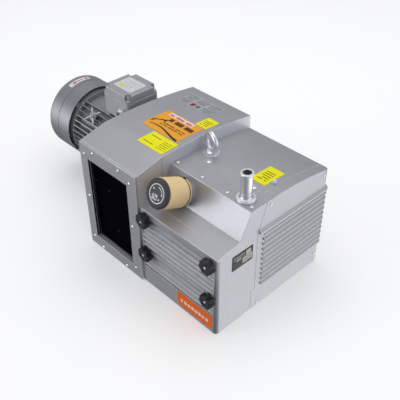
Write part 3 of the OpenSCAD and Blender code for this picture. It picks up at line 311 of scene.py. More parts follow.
def rubber(name, colour):
    finish = Finish(name, {"Specular IOR Level": 0.35})
    here = finish.place()
    bloom = finish.noise(here, 40.0, 4.0, 0.7).ramp(0.4, 0.8)
    grain = finish.noise(here, 1100.0, 2.0)
    return finish.drive(
        Base_Color=finish.mix(bloom * 0.6, colour, shade(colour, 1.7)),
        Roughness=0.6 + bloom * 0.15,
        Normal=finish.bump(grain, 0.00008))


def open_foam(name, colour):
    """Black open-cell foam: round cells with thin lighter struts."""
    finish = Finish(name, {"Specular IOR Level": 0.03})
    here = finish.place()
    cells = finish.cells(here, 330.0, "DISTANCE_TO_EDGE")
    struts = 1 - cells.ramp(0.0, 0.12)
    specks = (finish.chance((finish.axes(here)[0] * 300.0).floor(),
                            (finish.axes(here)[2] * 300.0).floor()) > 0.9985)
    return finish.drive(
        Base_Color=finish.mix(specks * 0.7, finish.mix(struts * 0.5, colour, shade(colour, 3.0)),
                              rgb(0.25, 0.25, 0.3)),
        Roughness=0.85 - struts * 0.15,
        Normal=finish.bump(struts, 0.0008))


def filter_paper(name, colour, origin, turn, folds=70):
    """Resin-treated paper with fine upright creases round the sleeve, darker along the creases as painted shade.
    """
    finish = Finish(name, {"Specular IOR Level": 0.25, "Subsurface Weight": 0.05})
    here = finish.place(origin, turn)
    across, along, _ = finish.axes(here)
    angle = along.turn_from(across)
    crease_and_shade = (angle * folds).sine()
    fibres = finish.noise(here, 700.0, 4.0, 0.7)
    blotch = finish.noise(here, 45.0, 3.0)
    toned = finish.mix(blotch, shade(colour, 0.93), shade(colour, 1.05))
    # Painted shade: the paper's colour darkens slightly along its creases.
    return finish.drive(
        Base_Color=finish.mix(crease_and_shade.ramp(0.2, 1.0) * 0.18, toned, shade(colour, 0.72)),
        Roughness=0.7 + fibres * 0.15,
        Normal=finish.bump(crease_and_shade * 0.35 + fibres * 0.3, 0.0003))


def wheel_face(name, origin, turn, radius):
    """The wheel's black face: a white ring round a curved arrow, a dash, a dot and a few plain bars."""
    finish = Finish(name, {})
    here = finish.place(origin, turn)
    across, up, _ = finish.axes(here)
    reach = (across * across + up * up) ** 0.5 / radius
    angle = up.turn_from(across)
    ring = reach.between(0.86, 0.955)
    arrow = reach.between(0.62, 0.69) * angle.between(0.35, 1.5)
    head = (abs(reach - 0.655) < (0.35 - angle) * 0.45) * (angle > 0.05)
    dash = reach.between(0.5, 0.72) * angle.between(2.45, 2.62)
    dot = ((across / radius - 0.42) ** 2.0 + (up / radius + 0.45) ** 2.0) < 0.008
    row = (up / radius + 0.62) * 7.0
    bars = (row % 1.0 < 0.6) * row.between(0.0, 4.0) * (across / radius).between(-0.55, 0.2)
    bars = bars * (finish.chance((across / radius * 9.0).floor(), row.floor()) > 0.3)
    marks = (ring + arrow + head + dash + dot + bars).ramp(0.0, 1.0)
    worn = finish.noise(here, 300.0, 3.0)
    ink = finish.mix(worn, rgb(0.75, 0.75, 0.76), rgb(0.92, 0.92, 0.93))
    return finish.drive(
        Base_Color=finish.mix(marks, rgb(0.008, 0.008, 0.012), ink),
        Roughness=0.4 + worn * 0.2,
        Normal=finish.bump(marks, 0.00005))


class Film(Finish):
    """A printed film or plate. u and v run from 0 to 1 over the piece's own box."""

    def __init__(self, name, box, across, up, ground, constants=None):
        super().__init__(name, {"Specular IOR Level": 0.25, **(constants or {})})
        low, high = box
        axes = self.axes(self.place())
        self.u = (axes[across] - low[across]) / (high[across] - low[across])
        self.v = (axes[up] - low[up]) / (high[up] - low[up])
        fade = self.noise(self.place(), 40.0, 3.0)
        self.colour = self.mix(fade, shade(ground, 0.94), ground)

    def mark(self, mask, ink):
        self.colour = self.mix(mask, self.colour, ink)

    def box(self, u1, v1, u2, v2, ink):
        self.mark(self.u.between(u1, u2) * self.v.between(v1, v2), ink)

    def border(self, inset_u, inset_v, line_u, line_v, ink):
        """A line that runs round the film, inside its edge."""
        outer = self.u.between(inset_u, 1 - inset_u) * self.v.between(inset_v, 1 - inset_v)
        inner = (self.u.between(inset_u + line_u, 1 - inset_u - line_u)
                 * self.v.between(inset_v + line_v, 1 - inset_v - line_v))
        self.mark(outer * (1 - inner), ink)

    def rows(self, u1, v1, u2, v2, lines, words, ink, weight=0.45):
        """Rows of short plain dashes, which stand for lines of small print."""
        row = (self.v - v1) / (v2 - v1) * lines
        word = (self.u - u1) / (u2 - u1) * words
        dash = self.chance(word.floor(), row.floor()) > 0.22
        mask = self.u.between(u1, u2) * self.v.between(v1, v2) * ((row % 1.0) < weight) * dash
        self.mark(mask, ink)

    def finished(self, roughness=0.4):
        grain = self.noise(self.place(), 900.0, 2.0)
        return self.drive(Base_Color=self.colour, Roughness=roughness + grain * 0.15,
                          Normal=self.bump(grain, 0.00003))


PAINT = rgb(0.44, 0.445, 0.475)
MOTOR_PAINT = rgb(0.30, 0.305, 0.335)
ZINC = rgb(0.80, 0.81, 0.86)
BLACK = rgb(0.012, 0.012, 0.016)
ORANGE = rgb(0.96, 0.42, 0.03)
YELLOW = rgb(1.0, 0.94, 0.0)
WHITE = rgb(0.80, 0.80, 0.82)
SLEEVE = rgb(1.0, 0.70, 0.39)
INK = rgb(0.03, 0.025, 0.02)


# ---- shapes ----

def activate(obj):
    if bpy.context.object and bpy.context.object.mode != "OBJECT":
        bpy.ops.object.mode_set(mode="OBJECT")
    bpy.ops.object.select_all(action="DESELECT")
    obj.hide_viewport = False
    obj.select_set(True)
    bpy.context.view_layer.objects.active = obj


def start(operator, **settings):
    """A new object from one of the plain mesh operators."""
    bpy.ops.object.select_all(action="DESELECT")
    operator(**settings)
    return bpy.context.object


def edit(obj, kind="FACE", test=None):
    """Enters edit mode with the faces, edges or vertices that pass the test, or with all of them."""
    activate(obj)
    bpy.ops.object.mode_set(mode="EDIT")
    bpy.ops.mesh.select_mode(type=kind)
    bpy.ops.mesh.select_all(action="SELECT" if test is None else "DESELECT")
    if test is not None:
        bpy.ops.object.mode_set(mode="OBJECT")
        mesh = obj.data
        parts = {"FACE": mesh.polygons, "EDGE": mesh.edges, "VERT": mesh.vertices}[kind]
        for part in parts:
            part.select = bool(test(part))
        bpy.ops.object.mode_set(mode="EDIT")


def leave():
    bpy.ops.object.mode_set(mode="OBJECT")


def modify(obj, kind, **settings):
    """Adds one modifier and applies it."""
    activate(obj)
    modifier = obj.modifiers.new(kind, kind)
    for name, value in settings.items():
        setattr(modifier, name, value)
    bpy.ops.object.modifier_apply(modifier=modifier.name)


def smooth(obj, degrees=32):
    """Smooth shading that the large faces steer, so that they stay flat."""
    activate(obj)
    bpy.ops.object.shade_smooth_by_angle(angle=math.radians(degrees), keep_sharp_edges=True)
    modify(obj, "WEIGHTED_NORMAL", keep_sharp=True, weight=60)


def settle(obj, matrix=None):
    """Puts the shape's place into its mesh and leaves the object at the origin."""
    if matrix is not None:
        obj.matrix_world = matrix @ obj.matrix_world
    activate(obj)
    bpy.ops.object.transform_apply(location=True, rotation=True, scale=True)


def outward(obj, merge=1e-6):
    edit(obj)
    bpy.ops.mesh.remove_doubles(threshold=merge)
    bpy.ops.mesh.normals_make_consistent(inside=False)
    leave()


def aim(origin, axis, spin=0.0):
    """Turns +Z to the axis and moves the origin to a point."""
    turn = Vector((0, 0, 1)).rotation_difference(Vector(axis)).to_matrix().to_4x4()
    return Matrix.Translation(origin) @ turn @ Matrix.Rotation(spin, 4, "Z")


def joined(parts):
    activate(parts[0])
    for part in parts[1:]:
        part.select_set(True)
    bpy.ops.object.join()
    return parts[0]


def copy_at(obj, matrix):
    """A copy with its own mesh."""
    twin = obj.copy()
    twin.data = obj.data.copy()
    bpy.context.scene.collection.objects.link(twin)
    settle(twin, matrix)
    return twin


def dress(obj, name, body, slot, *materials, instead_of=()):
    """Names a finished piece, gives it its materials and body, and hides the nodes it stands for."""
    obj.name = name
    obj.data.name = name
    if materials:
        marks = [face.material_index for face in obj.data.polygons]
        obj.data.materials.clear()
        for material in materials:
            obj.data.materials.append(material)
        for face, mark in zip(obj.data.polygons, marks):
            face.material_index = min(mark, len(materials) - 1)
    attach(obj, body)
    if instead_of:
        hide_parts(*instead_of)
    return obj


def lathe(profile, steps=64):
    """Turns a profile of (radius, height) points in millimetres about Z, from one drawn-out vertex."""
    obj = start(bpy.ops.mesh.primitive_plane_add, size=MM)
    edit(obj, "VERT")
    bpy.ops.mesh.merge(type="CENTER")
    radius, height = profile[0]
    bpy.ops.transform.translate(value=(radius * MM, 0, height * MM))
    for (r1, z1), (r2, z2) in zip(profile, profile[1:]):
        bpy.ops.mesh.extrude_vertices_move(
            TRANSFORM_OT_translate={"value": ((r2 - r1) * MM, 0, (z2 - z1) * MM)})
    bpy.ops.mesh.select_all(action="SELECT")
    bpy.ops.mesh.spin(steps=steps, angle=math.tau, center=(0, 0, 0), axis=(0, 0, 1))
    leave()
    outward(obj)
    return obj


def turned(profile, matrix, steps=64):
    """A lathed piece with smooth sides, in its place."""
    piece = lathe(profile, steps)
    smooth(piece, 40)
    settle(piece, matrix)
    return piece


def arc(centre, radius, start, stop, steps=4):
    """Points on an arc for a lathe's profile, its angles in degrees."""
    turns = [math.radians(start + (stop - start) * i / steps) for i in range(steps + 1)]
    return [(centre[0] + radius * math.cos(t), centre[1] + radius * math.sin(t)) for t in turns]


def shape_of(node, name):
    """A node's own mesh as a new object, its doubled vertices merged."""
    obj = bpy.data.objects.new(name, NODES[node].data.copy())
    bpy.context.scene.collection.objects.link(obj)
    edit(obj)
    bpy.ops.mesh.remove_doubles(threshold=0.01 * MM)
    return obj


def casting(node, width, paint, rim, third=None):
    """A casting's shape with its long sharp edges rounded; the rounding takes the paler rim finish, worn and
    lightened as a painted highlight.

    A third finish, when there is one, is for faces that are chosen afterwards.
    """
    obj = shape_of(node, node)
    bpy.ops.mesh.dissolve_limited(angle_limit=math.radians(0.3))
    leave()
    obj.data.materials.clear()
    for material in (paint, rim, third or paint):
        obj.data.materials.append(material)
    activate(obj)
    bpy.ops.object.shade_smooth()
    mark_edges(obj.data)
    modify(obj, "BEVEL", width=width * MM, segments=3, limit_method="WEIGHT",
           use_clamp_overlap=False, material=1, miter_outer="MITER_ARC")
    smooth(obj)
    return dress(obj, "cast_" + node, BODY_OF[node], SLOT_OF[node], instead_of=[node])


def mark_edges(mesh):
    """Weights the long sharp edges for the bevel and marks long shallow creases on top as sharp."""
    bevel_from, crease_from = 32, 2.2
    sides = {}
    for face in mesh.polygons:
        for key in face.edge_keys:
            sides.setdefault(key, []).append(face.normal)
    weights = mesh.attributes.new("bevel_weight_edge", "FLOAT", "EDGE")
    for edge in mesh.edges:
        normals = sides.get(edge.key, [])
        if len(normals) != 2:
            continue
        a, b = (mesh.vertices[i].co for i in edge.vertices)
        degrees = math.degrees(normals[0].angle(normals[1], 0.0))
        length = (a - b).length
        faces_up = min(normal.z for normal in normals) > 0.3
        if degrees > bevel_from and length > 8 * MM:
            weights.data[edge.index].value = 1.0
        elif crease_from < degrees < bevel_from and length > 100 * MM and faces_up:
            edge.use_edge_sharp = True


def solids_of(node):
    """The separate solids of a node as copies, each with its box."""
    shape_of(node, node + "_solids")
    bpy.ops.mesh.separate(type="LOOSE")
    leave()
    found = []
    for part in list(bpy.context.selected_objects):
        corners = [vertex.co for vertex in part.data.vertices]
        low = Vector([min(c[i] for c in corners) for i in range(3)])
        high = Vector([max(c[i] for c in corners) for i in range(3)])
        found.append((part, low, high))
    return sorted(found, key=lambda item: tuple(item[1]))


def discard(solids):
    for part, _, _ in solids:
        bpy.data.objects.remove(part)


# ---- fasteners ----

def pan_head(radius, height):
    """A pan-head screw with a cross recess, its seat on z = 0, in millimetres."""
    crown = arc((0, -radius * 0.9), radius * 1.35, 42, 90, 6)
    lift = height - crown[-1][1]
    profile = [(0, -0.3), (radius, -0.3), (radius, height * 0.35)]
    profile += [(min(r, radius * 0.96), max(z + lift, height * 0.5)) for r, z in crown]
    head = lathe(profile, 24)
    for turn in (0, math.pi / 2):
        cutter = start(bpy.ops.mesh.primitive_cube_add, size=MM, location=(0, 0, height * MM),
                       rotation=(0, 0, turn))
        cutter.scale = (radius * 1.1, radius * 0.24, height * 0.9)
        settle(cutter)
        modify(head, "BOOLEAN", object=cutter, operation="DIFFERENCE", solver="EXACT")
        bpy.data.objects.remove(cutter)
    smooth(head, 40)
    return head


def screws(node, name, direction, radius, height, finish):
    """One head at each screw of the node, standing out along the direction."""
    head = pan_head(radius, height)
    heads = []
    solids = solids_of(node)
    axis = Vector(direction)
    for index, (_, low, high) in enumerate(solids):
        middle = (low + high) / 2
        tip = Vector([high[i] if axis[i] > 0 else low[i] if axis[i] < 0 else middle[i] for i in range(3)])
        heads.append(copy_at(head, aim(tip - axis * height * MM, axis, 0.7 * index)))
    discard(solids)
    bpy.data.objects.remove(head)
    return dress(joined(heads), name, BODY_OF[node], SLOT_OF[node], finish, instead_of=[node])


# ---- knobs and wheel ----

def star_head(radius, height, lobes=7):
    """A star knob's head, its seat on z = 0, in millimetres."""
    head = start(bpy.ops.mesh.primitive_cylinder_add, vertices=4 * lobes, radius=radius * MM,
                 depth=height * MM, location=(0, 0, height * MM / 2))
    settle(head)
    step = math.tau / (4 * lobes)

    def in_valley(vertex):
        return round(math.atan2(vertex.co.y, vertex.co.x) / step) % 4 >= 2

    edit(head, "VERT", in_valley)
    bpy.ops.transform.resize(value=(0.74, 0.74, 1))
    leave()
    for side, slope, dish in ((1, 0.86, 0.8), (-1, 0.8, 1.2)):
        edit(head, "FACE", lambda face: face.normal.z * side > 0.9)
        bpy.ops.mesh.extrude_region_move(TRANSFORM_OT_translate={"value": (0, 0, side * 1.6 * MM)})
        bpy.ops.transform.resize(value=(slope, slope, 1))
        bpy.ops.mesh.inset(thickness=radius * 0.22 * MM)
        bpy.ops.transform.translate(value=(0, 0, -side * dish * MM))
        bpy.ops.mesh.inset(thickness=radius * 0.2 * MM)
        leave()
    modify(head, "BEVEL", width=0.9 * MM, segments=2, limit_method="ANGLE",
           angle_limit=math.radians(40), use_clamp_overlap=True)
    modify(head, "SUBSURF", levels=2, render_levels=2)
    reach = max(math.hypot(vertex.co.x, vertex.co.y) for vertex in head.data.vertices)
    low = min(vertex.co.z for vertex in head.data.vertices)
    high = max(vertex.co.z for vertex in head.data.vertices)
    head.scale = (radius * MM / reach, radius * MM / reach, height * MM / (high - low))
    head.location.z = -low * head.scale.z
    settle(head)
    smooth(head, 50)
    return head


def threaded_stud(radius, length, pitch=1.5):
    """A stud with a thread on its last part, from z = 0 down, in millimetres."""
    plain = length * 0.35
    profile = [(0, 0), (radius * 0.95, 0), (radius * 0.95, -plain)]
    for turn in range(int((length - plain - 2) / pitch)):
        z = -plain - turn * pitch
        profile += [(radius * 0.84, z - pitch * 0.5), (radius, z - pitch)]
    profile += [(radius * 0.7, -length), (0, -length)]
    stud = lathe(profile, 32)
    smooth(stud, 40)
    return stud


def make_knobs(plastic, steel):
    """Each star knob's head, its threaded stud and the domed insert in its middle."""
    for index in range(1, 5):
        node = f"knob_{index}"
        low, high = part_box(node)
        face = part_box("filter_cover")[0].y
        centre = Vector(((low.x + high.x) / 2, face - 0.4 * MM, (low.z + high.z) / 2))
        radius = (high.x - low.x) / 2 / MM
        height = (centre.y - low.y) / MM
        head = star_head(radius, height)
        settle(head, aim(centre, (0, -1, 0), index * 0.8))
        dress(head, f"star_{node}", BODY_OF[node], SLOT_OF[node], plastic, instead_of=[node])
        stud = threaded_stud(5, (high.y - centre.y) / MM)
        settle(stud, aim(centre, (0, -1, 0)))
        dress(stud, f"stud_{node}", BODY_OF[node], "zinc_steel", steel)
        cap = turned([(0, 0), (4.2, 0), (4.2, 0.6)] + arc((0, -5.0), 7.0, 57, 90, 5),
                     aim((centre.x, low.y + 2.2 * MM, centre.z), (0, -1, 0)), 32)
        dress(cap, f"insert_{node}", BODY_OF[node], "zinc_steel", steel)


def make_regulator(grip, face_print, paper, steel, band):
    """Hand wheel, its printed face, the filter sleeve and its band."""
    joint = JOINTS["regulator_turn"]
    axis = Vector(joint["axis"]).normalized()
    centre = Vector(joint["pos_m"])

    def reach(node):
        ahead = [(vertex.co - centre).dot(axis) for vertex in NODES[node].data.vertices]
        out = [((vertex.co - centre) - axis * (vertex.co - centre).dot(axis)).length
               for vertex in NODES[node].data.vertices]
        return min(ahead) / MM, max(ahead) / MM, max(out) / MM

    place = aim(centre, axis)
    _, top, radius = reach("regulator_wheel")
    under = top - 9.5
    disc = 25.0
    hole = 14.0
    wheel = turned([(hole, under + 3), (hole, under + 0.2), (radius - 1.2, under + 0.2)]
                   + arc((radius - 1.2, under + 1.4), 1.2, -90, 0, 3)
                   + [(radius, under + 3), (radius - 0.5, under + 4.9), (radius - 1.7, under + 6.7),
                      (radius - 3.4, under + 8.1), (radius - 5.2, top - 0.5), (radius - 7.0, top - 0.1)]
                   + arc((disc + 1.2, top - 1.2), 1.2, 90, 180, 4)
                   + [(disc, top - 2.4), (hole, top - 2.4), (hole, under + 3)], place, 96)
    dress(wheel, "grip_regulator_wheel", "regulator_wheel", "black_rubber", grip,
          instead_of=["regulator_wheel"])
    plate = turned([(0, top - 2.6), (disc - 0.4, top - 2.6), (disc - 0.4, top - 1.9),
                    (disc - 0.9, top - 1.5), (0, top - 1.5)], place)
    dress(plate, "face_regulator_wheel", "regulator_wheel", "black_plastic", face_print)
    spindle = turned([(0, under - 17), (11.4, under - 17), (11.6, under - 13.2), (6, under - 12.6),
                      (6, under + 1), (15, under + 1), (15, under + 4), (0, under + 4)], place, 48)
    dress(spindle, "spindle_regulator_wheel", "regulator_wheel", "zinc_steel", steel)

    back, front, outer = reach("regulator_sleeve")
    wall = 5.0
    inner = outer - wall
    sleeve = turned([(inner, back + 1), (inner + 1, back), (outer - 2, back)]
                    + arc((outer - 2, back + 2), 2, -90, 0, 3)
                    + [(outer, back + 5), (outer - 0.5, back + 6.5), (outer - 0.5, back + 8.5),
                       (outer, back + 10), (outer, (back + front) / 2)]
                    + arc((outer - 2, front - 2), 2, 0, 90, 3)
                    + [(inner + 1, front), (inner, front - 1), (inner, back + 1)], place, 96)
    dress(sleeve, "paper_regulator_sleeve", "root", "filter_sleeve", paper, instead_of=["regulator_sleeve"])

    band_height = back + 7.4
    hoop = lathe(arc((outer + 0.1, band_height), 1.1, -180, 180, 12), 96)
    clip = start(bpy.ops.mesh.primitive_cube_add, size=MM,
                 location=((outer + 1.6) * MM, 0, band_height * MM))
    clip.scale = (3.4, 7, 5)
    settle(clip)
    modify(clip, "BEVEL", width=0.8 * MM, segments=3)
    strap = joined([hoop, clip])
    smooth(strap, 40)
    settle(strap, place @ Matrix.Rotation(math.radians(84), 4, "Z"))
    dress(strap, "band_regulator", "root", "black_rubber", band, instead_of=["regulator_clamp"])


# ---- fittings on the casings ----

def make_lifting_eye(finish):
    """A forged eye on a washer: the plain shape is fused and its corners flow together."""
    height_above_seat = 62
    eye = shape_of("lifting_eye", "eye")
    leave()
    modify(eye, "REMESH", mode="VOXEL", voxel_size=0.9 * MM, adaptivity=0.0)
    modify(eye, "SMOOTH", factor=0.6, iterations=9)
    smooth(eye, 180)
    low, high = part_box("lifting_eye")
    collar = lathe([(0, -1), (21.5, -1), (21.5, 1.3), (20.8, 1.9), (17.3, 1.9), (17.3, 4.6), (16.4, 5.8),
                    (11.5, 9.2), (0, 9.2)], 64)
    smooth(collar, 30)
    settle(collar, Matrix.Translation(((low.x + high.x) / 2, (low.y + high.y) / 2,
                                       high.z - height_above_seat * MM)))
    dress(joined([eye, collar]), "forged_lifting_eye", "root", "zinc_steel", finish,
          instead_of=["lifting_eye"])


def make_nozzle(finish):
    """The turned hose nozzle with its flange, a groove and a rim that holds the hose."""
    low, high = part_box("suction_nozzle")
    flange = (high.x - low.x) / 2 / MM
    pipe = 14.0
    bore = 10.0
    foot = 14.0
    top = (high.z - low.z) / MM
    seat = foot + 6
    nozzle = turned([(bore, 0), (bore + 1.6, 0), (bore + 1.6, foot), (flange, foot)]
                    + arc((flange - 1.5, seat - 1.5), 1.5, 0, 90, 3)
                    + [(pipe + 5, seat)] + arc((pipe + 5, seat + 5), 5, -90, -180, 5)
                    + [(pipe, seat + 12), (pipe - 0.6, seat + 13), (pipe - 0.6, seat + 15),
                       (pipe, seat + 16), (pipe, top - 9)]
                    + arc((pipe + 1, top - 2), 2.0, -60, 90, 6)
                    + [(bore + 1, top)] + arc((bore + 1, top - 1), 1, 90, 180, 3) + [(bore, 0)],
                    Matrix.Translation(((low.x + high.x) / 2, (low.y + high.y) / 2, low.z)), 72)
    dress(nozzle, "turned_suction_nozzle", "root", "zinc_steel", finish, instead_of=["suction_nozzle"])


def make_top_plugs(finish):
    """The domed plugs and the grease nipples on the casing's top: wide solids are plugs."""
    solids = solids_of("top_plugs")
    plugs = []
    nipples = []
    for _, low, high in solids:
        spot = Vector(((low.x + high.x) / 2, (low.y + high.y) / 2, high.z))
        radius = (high.x - low.x) / 2 / MM
        if radius > 7:
            plugs.append(turned([(0, -8), (4, -8), (4, -1.7), (radius, -1.7), (radius, -1.3)]
                                + arc((0, -20.0), 20.0, 68, 90, 5), Matrix.Translation(spot), 32))
        elif high.z - low.z > 16 * MM:
            nipples.append(turned([(0, -18), (3, -18), (3, -13.4), (5.4, -13.4), (5.4, -7), (3.2, -6.2),
                                   (3.2, -4.6), (4.2, -4.2)] + arc((0, -3.6), 3.6, 0, 90, 5),
                                  Matrix.Translation(spot), 24))
    discard(solids)
    dress(joined(plugs), "domed_plugs", "root", "zinc_steel", finish, instead_of=["top_plugs"])
    if nipples:
        dress(joined(nipples), "grease_nipples", "root", "zinc_steel", finish)


def make_cable_gland(finish):
    """A plated gland nut over the terminal box's socket."""
    mount = MOUNTS["cable_gland"]
    origin = Vector(mount["pos_m"])
    origin.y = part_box("terminal_lid")[0].y
    nut = lathe([(6, -1), (13.4, -1), (13.4, 8.5), (12.2, 9.5), (6, 9.5), (6, -1)], 6)
    modify(nut, "BEVEL", width=0.7 * MM, segments=2, limit_method="ANGLE", angle_limit=math.radians(35))
    cap = lathe([(6, 9), (11.6, 9), (11.6, 13)] + arc((8.2, 13), 3.4, 0, 70, 5)
                + [(6.4, 18.5), (6, 18), (6, 9)], 48)
    gland = joined([nut, cap])
    smooth(gland, 40)
    settle(gland, aim(origin, mount["axis"]))
    dress(gland, "cable_gland", "root", "zinc_steel", finish)


def make_motor_lug(finish):
    """A cast four-armed lug with a bolt hole on the motor's front upper side."""
    low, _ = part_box("motor_frame")
    shaft = JOINTS["motor_spin"]["pos_m"]
    angle = math.radians(132)
    from_end, from_shaft = 70 * MM, 104 * MM
    out = Vector((0, math.cos(angle), math.sin(angle)))
    centre = Vector((low.x + from_end, shaft[1], shaft[2])) + out * from_shaft
    lug = start(bpy.ops.mesh.primitive_cylinder_add, vertices=16, radius=11 * MM, depth=7 * MM)
    settle(lug)

    def on_arm(face):
        turn = math.degrees(math.atan2(face.normal.y, face.normal.x)) % 90
        return abs(face.normal.z) < 0.5 and 8 < turn < 15

    edit(lug, "FACE", on_arm)
    bpy.ops.mesh.extrude_region_shrink_fatten(TRANSFORM_OT_shrink_fatten={"value": 17 * MM})
    bpy.ops.transform.resize(value=(1, 1, 0.55))
    leave()
    edit(lug, "FACE", lambda face: face.normal.z > 0.9 and face.center.xy.length < 3 * MM)
    bpy.ops.mesh.inset(thickness=5 * MM)
    bpy.ops.mesh.extrude_region_move(TRANSFORM_OT_translate={"value": (0, 0, 3 * MM)})
    bpy.ops.mesh.inset(thickness=2 * MM)
    bpy.ops.mesh.extrude_region_move(TRANSFORM_OT_translate={"value": (0, 0, -3 * MM)})
    leave()
    modify(lug, "BEVEL", width=1.0 * MM, segments=3, limit_method="ANGLE", angle_limit=math.radians(35))
    smooth(lug, 40)
    settle(lug, aim(centre, out, math.radians(34)))
    dress(lug, "motor_lug", "root", "motor_paint", finish)


def make_cowl_screws(finish):
    """Small screws round the cowl's rim."""
    low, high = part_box("fan_cowl")
    shaft = JOINTS["motor_spin"]["pos_m"]
    radius = (high.z - low.z) / 2 - 0.6 * MM
    head = pan_head(3.0, 2.2)
    heads = []
    for degrees in (33, 45, 56, 124, 135, 147, 225, 315):
        out = Vector((0, math.cos(math.radians(degrees)), math.sin(math.radians(degrees))))
        spot = Vector((high.x - 6 * MM, shaft[1], shaft[2])) + out * (radius - 2.0 * MM)
        heads.append(copy_at(head, aim(spot, out)))
    bpy.data.objects.remove(head)
    dress(joined(heads), "cowl_screws", "root", "zinc_steel", finish)


def make_mat(finish):
    """The foam mat behind the outlet: a fine grid pushed in and out by its cells."""
    low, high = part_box("outlet_mat")
    mat = start(bpy.ops.mesh.primitive_grid_add, x_subdivisions=90, y_subdivisions=140, size=1)
    mat.scale = ((high.x - low.x) * 0.998, (high.z - low.z) * 0.998, 1)
    mat.rotation_euler = (math.pi / 2, 0, 0)
    mat.location = ((low.x + high.x) / 2, low.y + 1.2 * MM, (low.z + high.z) / 2)
    settle(mat)
    cells = bpy.data.textures.new("foam cells", "VORONOI")
    cells.noise_scale = 0.004
    modify(mat, "DISPLACE", texture=cells, texture_coords="LOCAL", strength=2.0 * MM, mid_level=0.6)
    modify(mat, "SOLIDIFY", thickness=(high.y - low.y) - 4 * MM, offset=-1)
    outward(mat)
    smooth(mat, 80)
    dress(mat, "foam_outlet_mat", "root", "filter_mat", finish, instead_of=["outlet_mat"])


# ---- labels and plates ----

def round_corners(obj, low, high, radius, span, thin):
    """Rounds the four corners of a thin sheet that spans two axes; thin is the third."""
    def at_corner(edge):
        a, b = (obj.data.vertices[i].co for i in edge.vertices)
        middle = (a + b) / 2
        near = all(min(abs(middle[i] - low[i]), abs(middle[i] - high[i])) < 0.3 * MM for i in span)
        return near and (a - b).length < 1.5 * MM and abs(a[thin] - b[thin]) > 0.2 * MM

    edit(obj, "EDGE", at_corner)
    bpy.ops.mesh.bevel(offset=radius * MM, segments=5, affect="EDGES")
    leave()


def label_films(boxes):
    """The printed film for each label, by the label's name."""
    def film(name, across, up, ground, **constants):
        return Film("print " + name, boxes[name], across, up, ground, constants)

    orange = film("orange", 0, 1, ORANGE)
    wave = orange.v - 0.13 - (orange.u * 4.5 + 0.2).sine() * 0.09
    orange.mark((abs(wave) < 0.012 + orange.u * 0.03) * orange.u.between(0.08, 0.97), INK)
    swing = orange.v - 0.54 + (orange.u - 0.3) ** 2.0 * 3.2
    orange.mark((abs(swing) < 0.03) * orange.u.between(0.03, 0.3), INK)
    orange.mark((abs(swing) < 0.07) * (orange.u.between(0.03, 0.07) + orange.u.between(0.26, 0.3)), INK)
    orange.box(0.13, 0.80, 0.80, 0.96, WHITE)
    orange.rows(0.16, 0.83, 0.77, 0.93, 1, 11, rgb(0.75, 0.10, 0.12), 0.7)
    orange.rows(0.30, 0.58, 0.95, 0.74, 1, 12, rgb(0.12, 0.05, 0.01), 0.95)
    orange.rows(0.26, 0.32, 0.90, 0.50, 2, 22, rgb(0.25, 0.10, 0.02), 0.5)

    front = film("front", 0, 1, YELLOW)
    front.rows(0.62, 0.2, 0.94, 0.85, 5, 9, INK, 0.22)
    front.box(0.08, 0.22, 0.48, 0.26, INK)
    front.box(0.08, 0.72, 0.48, 0.76, INK)

    back = film("back", 0, 1, YELLOW)
    back.rows(0.15, 0.2, 0.85, 0.8, 4, 7, INK, 0.3)

    plate = film("plate", 0, 1, rgb(0.50, 0.51, 0.54), Metallic=0.3)
    plate.border(0.015, 0.03, 0.006, 0.012, INK)
    grey = rgb(0.12, 0.12, 0.13)
    plate.rows(0.05, 0.10, 0.30, 0.90, 11, 9, grey, 0.4)
    plate.rows(0.35, 0.45, 0.62, 0.90, 7, 10, grey, 0.4)
    plate.rows(0.66, 0.10, 0.95, 0.90, 11, 10, grey, 0.4)
    plate.box(0.36, 0.12, 0.46, 0.36, rgb(0.35, 0.02, 0.04))
    plate.box(0.50, 0.14, 0.60, 0.34, rgb(0.10, 0.20, 0.14))

    casing = film("casing", 0, 1, YELLOW)
    casing.rows(0.2, 0.2, 0.8, 0.8, 5, 4, INK, 0.3)

    lid = film("lid", 0, 1, WHITE)
    lid.border(0.02, 0.03, 0.01, 0.015, rgb(0.3, 0.3, 0.32))
    lid.rows(0.08, 0.12, 0.92, 0.9, 12, 14, rgb(0.35, 0.36, 0.38), 0.35)
    lid.box(0.16, 0.14, 0.34, 0.4, rgb(0.72, 0.75, 0.1))

    cowl = film("cowl", 1, 0, WHITE)
    red = rgb(0.65, 0.01, 0.02)
    stem = (abs(cowl.v - 0.5) < 0.1) * cowl.u.between(0.3, 0.68)
    head = (abs(cowl.v - 0.5) < (cowl.u - 0.12) * 1.9) * cowl.u.between(0.12, 0.3)
    diamond = (abs(cowl.u - 0.84) * 3.0 + abs(cowl.v - 0.5)) < 0.33
    cowl.mark((stem + head + diamond).ramp(0.0, 1.0), red)
    return {"orange": orange, "front": front, "back": back, "plate": plate,
            "casing": casing, "lid": lid, "cowl": cowl}


def make_labels():
    """The films on the hood, the casing, the terminal lid and the cowl, told apart by where they lie."""
    solids = solids_of("labels")
    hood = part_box("coupling_hood")
    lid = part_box("terminal_lid")

    def name_of(low, high):
        middle = (low + high) / 2
        if middle.x > hood[1].x:
            return "casing"
        if middle.x < lid[0].x:
            return "cowl"
        if middle.x < hood[0].x:
            return "lid"
        if middle.y > 100 * MM:
            return "plate"
        if high.x - low.x > 120 * MM:
            return "orange"
        return "front" if middle.y < 0 else "back"

    named = {name_of(low, high): (part, low, high) for part, low, high in solids}
    films = label_films({name: (low, high) for name, (_, low, high) in named.items()})
    stands_for = ["labels"]
    for name, (part, low, high) in sorted(named.items()):
        part.data.materials.clear()
        round_corners(part, low, high, 2 if name == "cowl" else 3, (0, 1), 2)
        smooth(part, 20)
        dress(part, "label_" + name, "root", "label_film", films[name].finished(), instead_of=stands_for)
        stands_for = ()


